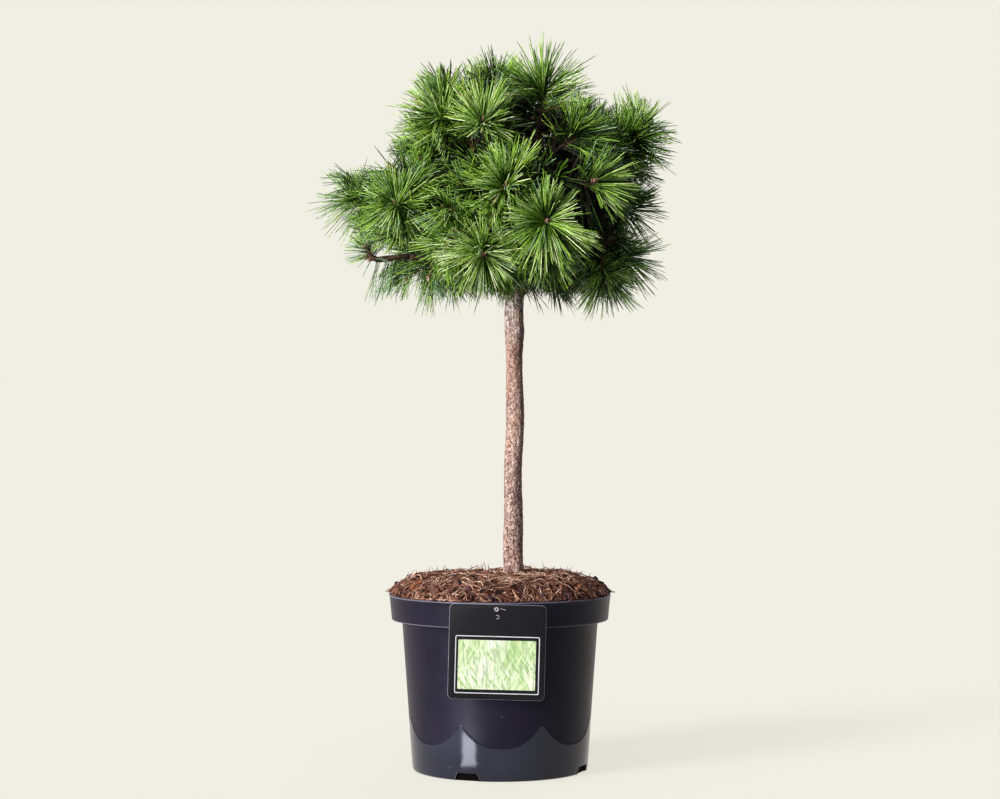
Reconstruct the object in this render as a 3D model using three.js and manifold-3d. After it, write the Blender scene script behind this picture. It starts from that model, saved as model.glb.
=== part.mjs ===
// A grafted dwarf red pine in a round nursery pot: one bare stem with a mop of
// needle tufts on short boughs. Millimetres, +Z up, the pot stands on Z = 0 and
// its axis is the Z axis. The front of the plant faces -Y.
import * as THREE from "three";
import { mergeVertices } from "three/addons/utils/BufferGeometryUtils.js";
import Module from "manifold-3d";

const wasm = await Module();
wasm.setup();

// ---------------------------------------------------------------- pot sizes
const POT_RIM_Z = 221;            // top of the rim
const POT_RIM_R = 140;            // outer radius at the top of the rim
const POT_RIM_FOOT_Z = 189;       // underside of the rim band
const POT_RIM_FOOT_R = 136.6;
const POT_NECK_R = 124;           // wall just under the rim band
const POT_WAIST_Z = 51;           // where the wall meets the plain skirt
const POT_WAIST_R = 114.3;
const POT_BASE_R = 110.6;
const POT_WALL = 2.4;
const POT_EDGE = 3.4;             // rounding at the foot
const POT_SIDES = 36;
const NOTCH_COUNT = 4;            // drainage openings round the foot
const NOTCH_FIRST_DEG = -111.3;   // the one left of the front
const NOTCH_WIDTH = 28;
const NOTCH_HEIGHT = 8;
const NOTCH_DEPTH = 17;

// ------------------------------------------------------- growing medium
const MIX_GAP = 0.4;
const MIX_TOP_Z = 247;            // crown of the heaped surface
const MIX_EDGE_Z = 222.5;
const MIX_FOOT_R = 139;
const MIX_SIDES = 24;

// ---------------------------------------------------------------- label
const LABEL_X = -3.6;
const LABEL_W = 117;
const LABEL_H = 115;
const LABEL_T = 1.0;
const LABEL_R = 6;
const LABEL_TOP_Z = 219.3;
const LABEL_TURN_DEG = -1.5;
const LABEL_Y = -141.2;           // middle of the card's thickness
const PIN_X = -4.0;
const PIN_Z = 213.4;
const PIN_R = 1.5;
const PIN_HEAD_R = 3.6;
const PIN_CLEAR = 0.35;
const PIN_END = 4.2;              // shank's end, inside the rim's wall

// ---------------------------------------------------------------- stem
const STEM_SIDES = 12;
const STEM_FOOT_Z = 241;          // flat cut at the surface of the mix
const STEM_TOP_Z = 652;
// height, axis x, axis y, radius
const STEM = [
  [241, 16.8, 0.0, 14.6], [247, 16.7, 0.0, 12.9], [262, 16.5, 0.0, 12.3], [288, 16.4, 0.2, 12.0],
  [326, 16.6, 0.3, 11.0], [364, 16.2, 0.2, 10.3], [440, 19.1, -0.3, 10.6],
  [516, 17.7, -0.2, 9.7], [554, 18.1, 0.0, 11.6], [579, 18.1, 0.2, 10.8],
  [630, 17.0, 1.0, 9.4], [645, 16.6, 1.2, 7.4], [652, 16.5, 1.2, 4.2],
];
const FIT = 0.35;                 // clearance between neighbours

// ---------------------------------------------------------------- foliage
const MASS_DETAIL = 2;
const MASS_GAP = 3.0;             // free space between two masses
const SHOOT = 58;                 // from the whorl of side shoots to the tip
const SIDE_REACH = 0.74;          // side tufts beside the main one
const ROUGHNESS = 0.08;           // unevenness of a mass

// Each mass: tip of its leading shoot, way it faces, reach of the needles round
// the tip, how far its side shoots stand off.
const MASSES = {
  front_low_right:   { tip: [56, -160, 690],   face: [0.15, -0.95, -0.08], reach: 66, spread: 34 },
  front_low_left:    { tip: [-22, -146, 658],  face: [-0.05, -0.85, -0.35], reach: 64, spread: 34 },
  front_middle:      { tip: [5, -146, 738],    face: [0.05, -0.78, 0.5],   reach: 64, spread: 30 },
  front_upper:       { tip: [-20, -110, 812],  face: [0, -0.85, 0.45],     reach: 64, spread: 30 },
  upper_left:        { tip: [-75, -48, 827],   face: [-0.35, -0.45, 0.75], reach: 57, spread: 28 },
  top_left:          { tip: [-12, 14, 858],    face: [-0.2, 0.1, 0.95],    reach: 56, spread: 26 },
  top:               { tip: [56, -18, 864],    face: [0.12, -0.15, 0.97],  reach: 60, spread: 24 },
  upper_right_front: { tip: [88, -95, 797],    face: [0.45, -0.6, 0.6],    reach: 64, spread: 26 },
  upper_right:       { tip: [164, -30, 794],   face: [0.7, -0.3, 0.55],    reach: 62, spread: 30 },
  right_top_back:    { tip: [124, 52, 806],    face: [0.45, 0.4, 0.75],    reach: 58, spread: 26 },
  right_front:       { tip: [113, -115, 740],  face: [0.6, -0.75, 0.15],   reach: 64, spread: 30 },
  right:             { tip: [166, 42, 722],    face: [0.9, 0.25, 0.1],     reach: 58, spread: 26 },
  right_low:         { tip: [160, -26, 655],   face: [0.9, -0.25, -0.05],  reach: 54, spread: 28 },
  right_low_front:   { tip: [132, -50, 618],   face: [0.4, -0.3, -0.75],   reach: 50, spread: 24 },
  left_front:        { tip: [-128, -92, 712],  face: [-0.35, -0.88, 0.1],  reach: 64, spread: 34 },
  far_left:          { tip: [-190, 8, 728],    face: [-0.9, 0.0, 0.3],     reach: 48, spread: 20 },
  left_low:          { tip: [-150, -76, 646],  face: [-0.95, -0.25, -0.12], reach: 42, spread: 22 },
  low_left_front:    { tip: [-87, -70, 622],   face: [-0.3, -0.45, -0.7],  reach: 48, spread: 24 },
  back_low:          { tip: [10, 158, 672],    face: [0.05, 0.95, -0.1],   reach: 62, spread: 32 },
  back_right_low:    { tip: [112, 118, 664],   face: [0.65, 0.7, -0.05],   reach: 60, spread: 30 },
  back_left_low:     { tip: [-104, 112, 664],  face: [-0.65, 0.7, -0.05],  reach: 58, spread: 28 },
  back_right:        { tip: [108, 118, 742],   face: [0.6, 0.7, 0.35],     reach: 60, spread: 28 },
  back_left:         { tip: [-94, 94, 730],    face: [-0.6, 0.65, 0.35],   reach: 57, spread: 26 },
  back_middle:       { tip: [0, 150, 752],     face: [0, 0.85, 0.5],       reach: 62, spread: 30 },
  back_top:          { tip: [32, 84, 818],     face: [0.1, 0.5, 0.85],     reach: 58, spread: 26 },
};

// Each limb: what it grows from, how far up that (0 to 1), the mass it feeds,
// radii at its foot and where it would reach the whorl, and how much it sags
// or climbs on the way.
const LIMBS = [
  { name: "bough_top",              from: "stem", at: 0.985, to: "top",               r: [8.4, 4.4], lift: 30, out: [0.5, -0.1, 0.9] },
  { name: "bough_upper_left",       from: "stem", at: 0.955, to: "upper_left",        r: [7.6, 4.0], lift: 16 },
  { name: "bough_front",            from: "stem", at: 0.915, to: "front_low_right",   r: [8.0, 4.2], lift: -6 },
  { name: "bough_left",             from: "stem", at: 0.925, to: "far_left",          r: [7.6, 3.4], lift: 4 },
  { name: "bough_right",            from: "stem", at: 0.945, to: "upper_right",       r: [7.8, 4.0], lift: 4 },
  { name: "bough_right_low",        from: "stem", at: 0.885, to: "right_low",         r: [7.4, 4.4], lift: -4 },
  { name: "bough_right_low_front",  from: "stem", at: 0.858, to: "right_low_front",   r: [6.0, 3.4], lift: 10 },
  { name: "bough_left_low",         from: "stem", at: 0.875, to: "left_low",          r: [7.0, 3.2], lift: 2 },
  { name: "bough_back",             from: "stem", at: 0.935, to: "back_middle",       r: [7.8, 4.0], lift: 0 },
  { name: "bough_back_left",        from: "stem", at: 0.905, to: "back_left_low",     r: [7.2, 3.8], lift: 0 },
  { name: "bough_back_right",       from: "stem", at: 0.895, to: "back_right_low",    r: [7.2, 3.8], lift: 0 },
  { name: "branch_front_middle",    from: "bough_front", at: 0.42, to: "front_middle",      r: [5.0, 3.0], lift: 8 },
  { name: "branch_front_low_left",  from: "bough_front", at: 0.30, to: "front_low_left",    r: [5.0, 3.0], lift: -6 },
  { name: "branch_front_upper",     from: "bough_upper_left", at: 0.30, to: "front_upper",  r: [5.2, 3.0], lift: 10 },
  { name: "branch_top_left",        from: "bough_upper_left", at: 0.42, to: "top_left",     r: [4.8, 2.8], lift: 10 },
  { name: "branch_upper_right_front", from: "bough_top", at: 0.34, to: "upper_right_front", r: [5.0, 3.0], lift: 6 },
  { name: "branch_back_top",        from: "bough_top", at: 0.22, to: "back_top",            r: [5.0, 3.0], lift: 12 },
  { name: "branch_right_front",     from: "bough_right", at: 0.26, to: "right_front",       r: [5.2, 3.0], lift: 0 },
  { name: "branch_right_top_back",  from: "bough_right", at: 0.40, to: "right_top_back",    r: [4.8, 2.8], lift: 8 },
  { name: "branch_right",           from: "bough_right", at: 0.52, to: "right",             r: [4.6, 2.8], lift: 0 },
  { name: "branch_left_front",      from: "bough_left", at: 0.36, to: "left_front",         r: [5.2, 3.2], lift: 0 },
  { name: "branch_low_left_front",  from: "bough_left_low", at: 0.38, to: "low_left_front", r: [4.4, 2.6], lift: 0 },
  { name: "branch_back_low",        from: "bough_back", at: 0.34, to: "back_low",           r: [5.0, 3.0], lift: -4 },
  { name: "branch_back_left",       from: "bough_back_left", at: 0.40, to: "back_left",     r: [4.8, 3.0], lift: 8 },
  { name: "branch_back_right",      from: "bough_back_right", at: 0.40, to: "back_right",   r: [4.8, 3.0], lift: 8 },
];
const LIMB_SIDES = 5;
const LIMB_STEP = 36;             // length of one facet along a limb
const LIMB_SOCKET = 7;            // how far a limb runs into its mass

// ------------------------------------------------------------- small tools
const v3 = (a) => new THREE.Vector3(a[0], a[1], a[2]);

function rng(seed) {
  let a = seed >>> 0;
  return () => {
    a = (a + 0x6d2b79f5) | 0;
    let t = Math.imul(a ^ (a >>> 15), 1 | a);
    t = (t + Math.imul(t ^ (t >>> 7), 61 | t)) ^ t;
    return ((t ^ (t >>> 14)) >>> 0) / 4294967296;
  };
}

function weld(geometry) {
  const g = geometry.index ? geometry.clone() : geometry.clone();
  for (const key of Object.keys(g.attributes)) if (key !== "position") g.deleteAttribute(key);
  return mergeVertices(g, 1e-3);
}

function toSolid(geometry) {
  const g = weld(geometry);
  return new wasm.Manifold(new wasm.Mesh({
    numProp: 3,
    vertProperties: new Float32Array(g.attributes.position.array),
    triVerts: new Uint32Array(g.index.array),
  }));
}

function biggest(solid) {
  const bodies = solid.decompose();
  let best = bodies[0];
  for (const b of bodies) if (b.volume() > best.volume()) best = b;
  return best;
}

function toGeometry(solid) {
  const mesh = solid.getMesh();
  const points = new Float32Array(mesh.numVert * 3);
  for (let i = 0; i < mesh.numVert; i++) {
    for (let k = 0; k < 3; k++) points[3 * i + k] = mesh.vertProperties[i * mesh.numProp + k];
  }
  const g = new THREE.BufferGeometry();
  g.setAttribute("position", new THREE.BufferAttribute(points, 3));
  g.setIndex(new THREE.BufferAttribute(new Uint32Array(mesh.triVerts), 1));
  g.computeVertexNormals();
  return g;
}

// A profile of [radius, height] pairs turned round the Z axis.
function turned(profile, sides) {
  const g = new THREE.LatheGeometry(profile.map(([r, z]) => new THREE.Vector2(r, z)), sides);
  g.rotateX(Math.PI / 2);
  return g;
}

// A round limb of varying radius along a curve: a cylinder bent onto it.
function limbGeometry(curve, radius, sides, steps) {
  const g = new THREE.CylinderGeometry(1, 1, 1, sides, steps, false);
  const frames = curve.computeFrenetFrames(steps, false);
  const p = g.attributes.position;
  const at = new THREE.Vector3();
  for (let i = 0; i < p.count; i++) {
    const t = Math.min(1, Math.max(0, p.getY(i) + 0.5));
    const k = Math.round(t * steps);
    const x = p.getX(i), z = p.getZ(i), r = radius(t);
    at.copy(curve.getPointAt(t));
    at.addScaledVector(frames.binormals[k], x * r).addScaledVector(frames.normals[k], z * r);
    p.setXYZ(i, at.x, at.y, at.z);
  }
  return g;
}

// The first part of a curve, and a curve with a bit added before its start.
class PartCurve extends THREE.Curve {
  constructor(base, end) { super(); this.base = base; this.end = end; }
  getPoint(t, target = new THREE.Vector3()) { return target.copy(this.base.getPoint(t * this.end)); }
}

// ------------------------------------------------------------------- pot
function potSolid() {
  const t = POT_WALL;
  const profile = [
    [0, 0], [POT_BASE_R - POT_EDGE, 0], [POT_BASE_R, POT_EDGE],
    [POT_WAIST_R, POT_WAIST_Z], [POT_NECK_R, POT_RIM_FOOT_Z],
    [POT_RIM_FOOT_R, POT_RIM_FOOT_Z], [POT_RIM_R, POT_RIM_Z - 1.2], [POT_RIM_R - 0.6, POT_RIM_Z],
    [POT_RIM_R - t, POT_RIM_Z],
    [POT_RIM_FOOT_R - t, POT_RIM_FOOT_Z + t], [POT_NECK_R - t, POT_RIM_FOOT_Z + t],
    [POT_WAIST_R - t, POT_WAIST_Z], [POT_BASE_R - t - 0.4, t], [0, t],
  ];
  let pot = toSolid(turned(profile, POT_SIDES));
  // drainage notches through the foot of the wall and the rim of the base
  const w = NOTCH_WIDTH / 2;
  for (let i = 0; i < NOTCH_COUNT; i++) {
    const outline = new THREE.Shape([
      new THREE.Vector2(-w - 2.5, -1), new THREE.Vector2(w + 2.5, -1),
      new THREE.Vector2(w - 1.5, NOTCH_HEIGHT), new THREE.Vector2(-w + 1.5, NOTCH_HEIGHT),
    ]);
    const cutter = new THREE.ExtrudeGeometry(outline, { depth: NOTCH_DEPTH + 5, bevelEnabled: false });
    cutter.rotateX(Math.PI / 2);                       // outline upright, runs along -Y
    cutter.translate(0, -(POT_BASE_R - NOTCH_DEPTH), 0);
    cutter.rotateZ(THREE.MathUtils.degToRad(90 + NOTCH_FIRST_DEG + i * 360 / NOTCH_COUNT));
    pot = pot.subtract(toSolid(cutter));
  }
  // hole for the label's pin
  const hole = new THREE.CylinderGeometry(PIN_R + PIN_CLEAR, PIN_R + PIN_CLEAR, 14, 10);
  hole.translate(PIN_X, -POT_RIM_R, PIN_Z);
  return pot.subtract(toSolid(hole));
}

// ------------------------------------------------------- growing medium
// A loose layer, level in the middle and falling steeply to the rim.
function mixTop(r) {
  return MIX_EDGE_Z + (MIX_TOP_Z - MIX_EDGE_Z) * Math.sqrt(1 - Math.min(1, r / MIX_FOOT_R) ** 7);
}

function mixSolid(stem) {
  const g = MIX_GAP, t = POT_WALL;
  const fit = (r) => (r - t) * Math.cos(Math.PI / POT_SIDES) - g;   // inside the pot's flat facets
  const rim = fit(POT_RIM_R - 0.1);
  const profile = [
    [0, t + g], [fit(POT_BASE_R - 0.4), t + g],
    [fit(POT_WAIST_R), POT_WAIST_Z], [fit(POT_NECK_R), POT_RIM_FOOT_Z + t + g],
    [fit(POT_RIM_FOOT_R - 0.4), POT_RIM_FOOT_Z + t + g], [rim, POT_RIM_Z - 0.5], [rim + 0.6, mixTop(rim) + 0.6],
  ];
  for (const r of [131, 119, 96, 52, 0]) profile.push([r, mixTop(r)]);
  const geometry = weld(turned(profile, MIX_SIDES));
  const p = geometry.attributes.position;              // a slightly lumpy surface
  for (let i = 0; i < p.count; i++) {
    const x = p.getX(i), y = p.getY(i), z = p.getZ(i), r = Math.hypot(x, y);
    if (z > MIX_EDGE_Z + 1 && r < 125) {
      p.setZ(i, z + 1.6 * Math.sin(x * 0.09 + 1) * Math.cos(y * 0.08) + 0.8 * Math.sin(y * 0.17 + x * 0.05));
    }
  }
  return biggest(toSolid(geometry).subtract(stem));
}

// ----------------------------------------------------------------- label
function roundedRect(w, h, r) {
  const s = new THREE.Shape();
  s.moveTo(-w / 2 + r, -h / 2);
  s.lineTo(w / 2 - r, -h / 2).absarc(w / 2 - r, -h / 2 + r, r, -Math.PI / 2, 0, false);
  s.lineTo(w / 2, h / 2 - r).absarc(w / 2 - r, h / 2 - r, r, 0, Math.PI / 2, false);
  s.lineTo(-w / 2 + r, h / 2).absarc(-w / 2 + r, h / 2 - r, r, Math.PI / 2, Math.PI, false);
  s.lineTo(-w / 2, -h / 2 + r).absarc(-w / 2 + r, -h / 2 + r, r, Math.PI, Math.PI * 1.5, false);
  return s;
}

function labelSolid() {
  const shape = roundedRect(LABEL_W, LABEL_H, LABEL_R);
  const g = new THREE.ExtrudeGeometry(shape, { depth: LABEL_T, bevelEnabled: false, curveSegments: 3 });
  g.translate(0, 0, -LABEL_T / 2);
  g.rotateX(Math.PI / 2);
  g.rotateY(THREE.MathUtils.degToRad(-LABEL_TURN_DEG));
  g.translate(LABEL_X, LABEL_Y, LABEL_TOP_Z - LABEL_H / 2);
  const hole = new THREE.CylinderGeometry(PIN_R + PIN_CLEAR, PIN_R + PIN_CLEAR, 8, 10);
  hole.translate(PIN_X, LABEL_Y, PIN_Z);
  return toSolid(g).subtract(toSolid(hole));
}

function pinGeometry() {
  const face = LABEL_T / 2 + PIN_CLEAR;
  const profile = [
    [0, PIN_END], [PIN_R * 0.7, PIN_END], [PIN_R, PIN_END - 0.7], [PIN_R, -face],
    [PIN_HEAD_R, -face], [PIN_HEAD_R - 0.3, -face - 0.9], [PIN_HEAD_R * 0.6, -face - 1.6], [0, -face - 1.9],
  ];
  const g = new THREE.LatheGeometry(profile.reverse().map(([r, y]) => new THREE.Vector2(r, y)), 9);
  g.translate(PIN_X, LABEL_Y, PIN_Z);
  return g;
}

// ------------------------------------------------------------------ stem
const stemCurve = new THREE.CatmullRomCurve3(STEM.map(([z, x, y]) => new THREE.Vector3(x, y, z)));

function stemRadiusAtZ(z) {
  for (let i = 1; i < STEM.length; i++) {
    if (z <= STEM[i][0]) {
      const a = STEM[i - 1], b = STEM[i], f = (z - a[0]) / (b[0] - a[0]);
      return a[3] + (b[3] - a[3]) * f;
    }
  }
  return STEM[STEM.length - 1][3];
}

// Rings at the heights of the table, flat at the foot.
function stemGeometry(grow) {
  const steps = STEM.length - 1;
  const g = new THREE.CylinderGeometry(1, 1, 1, STEM_SIDES, steps, false);
  const p = g.attributes.position;
  for (let i = 0; i < p.count; i++) {
    const k = Math.round((p.getY(i) + 0.5) * steps);
    const [z, x, y, r] = STEM[k];
    const lift = k === 0 ? -grow : k === steps ? grow : 0;
    const a = Math.atan2(p.getZ(i), p.getX(i));
    const edge = Math.hypot(p.getX(i), p.getZ(i));
    const flute = 1 + (k === 0 ? 0.07 : k === 1 ? 0.03 : 0) * Math.sin(5 * a + 0.6);
    p.setXYZ(i, x + Math.sin(a) * edge * (r * flute + grow), y + Math.cos(a) * edge * (r * flute + grow), z + lift);
  }
  return g;
}

// ----------------------------------------------------------------- limbs
const curves = { stem: stemCurve };
const radii = { stem: () => 10 };

function limbCurve(limb) {
  const mass = MASSES[limb.to];
  const face = v3(mass.face).normalize();
  const start = curves[limb.from].getPointAt(limb.at);
  const end = v3(mass.tip).addScaledVector(face, -SHOOT * 0.7);
  const span = start.distanceTo(end);
  const away = end.clone().sub(start).normalize();
  const first = limb.out ? v3(limb.out).normalize()
    : limb.from === "stem" ? new THREE.Vector3(away.x, away.y, away.z * 0.4 + 0.35).normalize()
      : curves[limb.from].getTangentAt(limb.at).lerp(away, 0.55).normalize();
  const a = start.clone().addScaledVector(first, span * 0.36);
  const b = end.clone().addScaledVector(face.clone().lerp(away, 0.5).normalize(), -span * 0.34);
  a.z += limb.lift * 0.5;
  b.z += limb.lift;
  return new THREE.CubicBezierCurve3(start, a, b, end);
}

function limbRadius(limb, length, end) {
  const [r0, r1] = limb.r;
  return (t) => {
    const s = t * end;
    return r0 + (r1 - r0) * s ** 0.8 + r0 * 0.22 * Math.exp(-(s * length) / 14);
  };
}

// ---------------------------------------------------------------- masses
// The tufts of a mass: a ball of needles on its leading shoot and smaller ones
// on side shoots set round it by the golden angle.
function tufts(name, seed) {
  const m = MASSES[name];
  const face = v3(m.face).normalize();
  const tip = v3(m.tip);
  const whorl = tip.clone().addScaledVector(face, -SHOOT);
  const side = new THREE.Vector3().crossVectors(face, Math.abs(face.z) < 0.9 ? new THREE.Vector3(0, 0, 1) : new THREE.Vector3(1, 0, 0)).normalize();
  const up = new THREE.Vector3().crossVectors(side, face).normalize();
  const random = rng(seed);
  const list = [{ at: tip.clone().addScaledVector(face, -10), r: m.reach }];
  const count = 6;
  for (let k = 0; k < count; k++) {
    const turn = k * 2.39996 + random() * 0.7 + seed;
    const open = THREE.MathUtils.degToRad(48 + 40 * random());
    const length = (m.spread + 16) * (0.85 + 0.3 * random());
    const d = face.clone().multiplyScalar(Math.cos(open))
      .addScaledVector(side, Math.sin(open) * Math.cos(turn))
      .addScaledVector(up, Math.sin(open) * Math.sin(turn));
    list.push({ at: whorl.clone().addScaledVector(d, length), r: m.reach * SIDE_REACH * (0.9 + 0.2 * random()) });
  }
  return list;
}

const massNames = Object.keys(MASSES);
const centres = {};
for (const name of massNames) {
  const m = MASSES[name];
  centres[name] = v3(m.tip).addScaledVector(v3(m.face).normalize(), -m.reach * 0.38);
}

function reachOf(name, list, u) {
  const c = centres[name];
  let r = 14;
  for (const ball of list) {
    const q = ball.at.clone().sub(c);
    const b = u.dot(q), disc = b * b - q.lengthSq() + ball.r * ball.r;
    if (disc > 0) r = Math.max(r, b + Math.sqrt(disc));
  }
  const wave = Math.sin(u.x * 7 + c.x * 0.11) + Math.sin(u.y * 8 + c.y * 0.13) + Math.sin(u.z * 9 + c.z * 0.17);
  const lead = Math.max(0, u.dot(v3(MASSES[name].face).normalize()));
  r *= (1 + ROUGHNESS * wave * 0.5) * (1 + 0.07 * lead * lead);
  for (const other of massNames) {                     // keep to its own side of every neighbour
    if (other === name) continue;
    const d = centres[other].clone().sub(c), span = d.length();
    const a = MASSES[name].reach, o = MASSES[other].reach;
    const limit = (span * span + a * a - o * o) / (2 * span) - MASS_GAP / 2;
    const toward = u.dot(d) / span;
    if (toward > 1e-3) r = Math.min(r, limit / toward);
  }
  return r;
}

function massGeometry(name, seed) {
  const list = tufts(name, seed);
  const g = weld(new THREE.IcosahedronGeometry(1, MASS_DETAIL));
  const p = g.attributes.position;
  const u = new THREE.Vector3();
  for (let i = 0; i < p.count; i++) {
    u.fromBufferAttribute(p, i).normalize();
    const at = centres[name].clone().addScaledVector(u, reachOf(name, list, u));
    p.setXYZ(i, at.x, at.y, at.z);
  }
  return g;
}

// --------------------------------------------------------------- assembly
const pine = new THREE.Group();

function add(name, geometry, color, roughness) {
  const mesh = new THREE.Mesh(geometry, new THREE.MeshStandardMaterial({ color, roughness, metalness: 0 }));
  mesh.name = name;
  pine.add(mesh);
}

add("pot", toGeometry(potSolid()), 0x2b2a38, 0.45);
add("growing_medium", toGeometry(mixSolid(toSolid(stemGeometry(FIT)))), 0x725146, 0.95);
add("plant_label", toGeometry(labelSolid()), 0x2c2a2f, 0.5);
add("label_pin", pinGeometry(), 0x26252b, 0.5);
add("trunk", stemGeometry(0), 0xb49a8c, 0.9);

const raw = {};
massNames.forEach((name, i) => { raw[name] = toSolid(massGeometry(name, i + 11)); });

let carved = toSolid(stemGeometry(FIT));               // all the wood so far, a little fatter
LIMBS.forEach((limb) => {
  const curve = limbCurve(limb);
  const length = curve.getLength();
  // find where the limb enters its own mass
  const list = tufts(limb.to, massNames.indexOf(limb.to) + 11);
  let end = 1;
  for (let s = 0; s <= 1; s += 0.01) {
    const d = curve.getPoint(s).sub(centres[limb.to]);
    const far = d.length();
    if (far < reachOf(limb.to, list, d.normalize())) { end = Math.min(1, s + LIMB_SOCKET / length); break; }
  }
  const part = new PartCurve(curve, end);
  curves[limb.name] = part;
  const radius = limbRadius(limb, length, end);
  const steps = Math.max(4, Math.round(length * end / LIMB_STEP));
  const wood = toSolid(limbGeometry(part, radius, LIMB_SIDES, steps));
  const fat = toSolid(limbGeometry(part, (t) => radius(t) + FIT + 0.15, LIMB_SIDES, steps));
  add(limb.name, toGeometry(biggest(wood.subtract(carved))), 0x8a6a58, 0.9);
  carved = carved.add(fat);
});

massNames.forEach((name) => {
  let mass = raw[name];
  mass = mass.subtract(carved);
  add("foliage_" + name, toGeometry(biggest(mass)), 0x55703a, 0.95);
});

export default pine;
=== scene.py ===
import math
import bpy
import numpy as np
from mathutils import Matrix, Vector


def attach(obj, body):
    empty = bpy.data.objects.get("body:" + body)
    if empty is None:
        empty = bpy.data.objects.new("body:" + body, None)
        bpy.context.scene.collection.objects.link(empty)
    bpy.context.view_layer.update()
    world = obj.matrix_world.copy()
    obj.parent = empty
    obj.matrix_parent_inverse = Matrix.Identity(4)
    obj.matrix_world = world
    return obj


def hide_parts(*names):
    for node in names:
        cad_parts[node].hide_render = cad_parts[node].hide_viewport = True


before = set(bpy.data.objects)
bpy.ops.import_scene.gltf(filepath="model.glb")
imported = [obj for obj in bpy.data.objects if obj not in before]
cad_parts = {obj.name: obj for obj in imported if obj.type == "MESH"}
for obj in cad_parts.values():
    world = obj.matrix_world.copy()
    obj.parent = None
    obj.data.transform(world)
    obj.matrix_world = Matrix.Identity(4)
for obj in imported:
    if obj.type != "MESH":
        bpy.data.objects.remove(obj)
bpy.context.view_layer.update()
MM = 0.001

KEY = 4.5                 # strength of the main light
FLOOR_ALBEDO = 0.16       # most of the floor's paleness is its own, so shadows on it stay faint
FLOOR_GLOW = 0.792

# ------------------------------------------------------------------ helpers


def rot(axis, angle):
    """Rotation matrices for unit axes (n,3) and angles (n)."""
    a = np.atleast_2d(axis)
    c, s = np.cos(angle), np.sin(angle)
    x, y, z = a[:, 0], a[:, 1], a[:, 2]
    C = 1 - c
    m = np.empty((len(a), 3, 3))
    m[:, 0, 0] = c + x * x * C; m[:, 0, 1] = x * y * C - z * s; m[:, 0, 2] = x * z * C + y * s
    m[:, 1, 0] = y * x * C + z * s; m[:, 1, 1] = c + y * y * C; m[:, 1, 2] = y * z * C - x * s
    m[:, 2, 0] = z * x * C - y * s; m[:, 2, 1] = z * y * C + x * s; m[:, 2, 2] = c + z * z * C
    return m


def unit(v):
    v = np.asarray(v, float)
    n = np.linalg.norm(v, axis=-1, keepdims=True)
    return v / np.maximum(n, 1e-12)


def _hash(i, j, k, seed):
    M = 0xFFFFFFFF
    n = (i * 374761393 + j * 668265263 + k * 2246822519 + seed * 3266489917) & M
    n = ((n ^ (n >> 13)) * 1274126177) & M
    n = (n ^ (n >> 16)) & M
    return n.astype(np.float64) / M


def vnoise(p, freq, seed=0):
    """Smooth value noise, -1 to 1."""
    q = p * freq
    i = np.floor(q).astype(np.int64)
    t = q - i
    t = t * t * (3 - 2 * t)
    out = np.zeros(len(p))
    for dx in (0, 1):
        for dy in (0, 1):
            for dz in (0, 1):
                w = (t[:, 0] if dx else 1 - t[:, 0]) * (t[:, 1] if dy else 1 - t[:, 1]) * (t[:, 2] if dz else 1 - t[:, 2])
                out += w * _hash(i[:, 0] + dx, i[:, 1] + dy, i[:, 2] + dz, seed)
    return out * 2 - 1


def fbm(p, freq, seed=0, octaves=4):
    total, amp, norm = np.zeros(len(p)), 1.0, 0.0
    for o in range(octaves):
        total += amp * vnoise(p, freq * 2 ** o, seed + 17 * o)
        norm += amp
        amp *= 0.5
    return total / norm


def cells(p, freq, seed=0):
    """Cell noise: distance to the nearest and second nearest point, and the cell's own random number."""
    q = p * freq
    base = np.floor(q).astype(np.int64)
    d1 = np.full(len(p), 9.0); d2 = np.full(len(p), 9.0); ident = np.zeros(len(p))
    for dx in (-1, 0, 1):
        for dy in (-1, 0, 1):
            for dz in (-1, 0, 1):
                c = base + np.array([dx, dy, dz])
                o = np.stack([_hash(c[:, 0], c[:, 1], c[:, 2], seed + s) for s in (1, 2, 3)], 1)
                d = np.linalg.norm(c + o - q, axis=1)
                closer = d < d1
                d2 = np.where(closer, d1, np.minimum(d2, d))
                ident = np.where(closer, _hash(c[:, 0], c[:, 1], c[:, 2], seed + 7), ident)
                d1 = np.where(closer, d, d1)
    return d1, d2, ident


def smooth(a, b, x):
    t = np.clip((x - a) / (b - a), 0, 1)
    return t * t * (3 - 2 * t)


def new_mesh(name, verts, quads=None, tris=None, mat_quads=None, mat_tris=None, shade=True, uv=None):
    """A mesh object from arrays, in millimetres."""
    me = bpy.data.meshes.new(name)
    verts = np.asarray(verts, np.float32) * MM
    me.vertices.add(len(verts))
    me.vertices.foreach_set("co", verts.ravel())
    loops, starts, mats = [], [], []
    n = 0
    if quads is not None and len(quads):
        quads = np.asarray(quads, np.int32)
        loops.append(quads.ravel()); starts.append(n + 4 * np.arange(len(quads))); n += quads.size
        mats.append(np.zeros(len(quads), np.int32) if mat_quads is None else mat_quads)
    if tris is not None and len(tris):
        tris = np.asarray(tris, np.int32)
        loops.append(tris.ravel()); starts.append(n + 3 * np.arange(len(tris))); n += tris.size
        mats.append(np.zeros(len(tris), np.int32) if mat_tris is None else mat_tris)
    loops = np.concatenate(loops); starts = np.concatenate(starts).astype(np.int32)
    me.loops.add(len(loops))
    me.loops.foreach_set("vertex_index", loops.astype(np.int32))
    me.polygons.add(len(starts))
    me.polygons.foreach_set("loop_start", starts)
    me.polygons.foreach_set("material_index", np.concatenate(mats).astype(np.int32))
    me.update(calc_edges=True)
    me.validate()
    me.polygons.foreach_set("use_smooth", np.full(len(starts), bool(shade)))
    ob = bpy.data.objects.new(name, me)
    bpy.context.scene.collection.objects.link(ob)
    return ob


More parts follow.
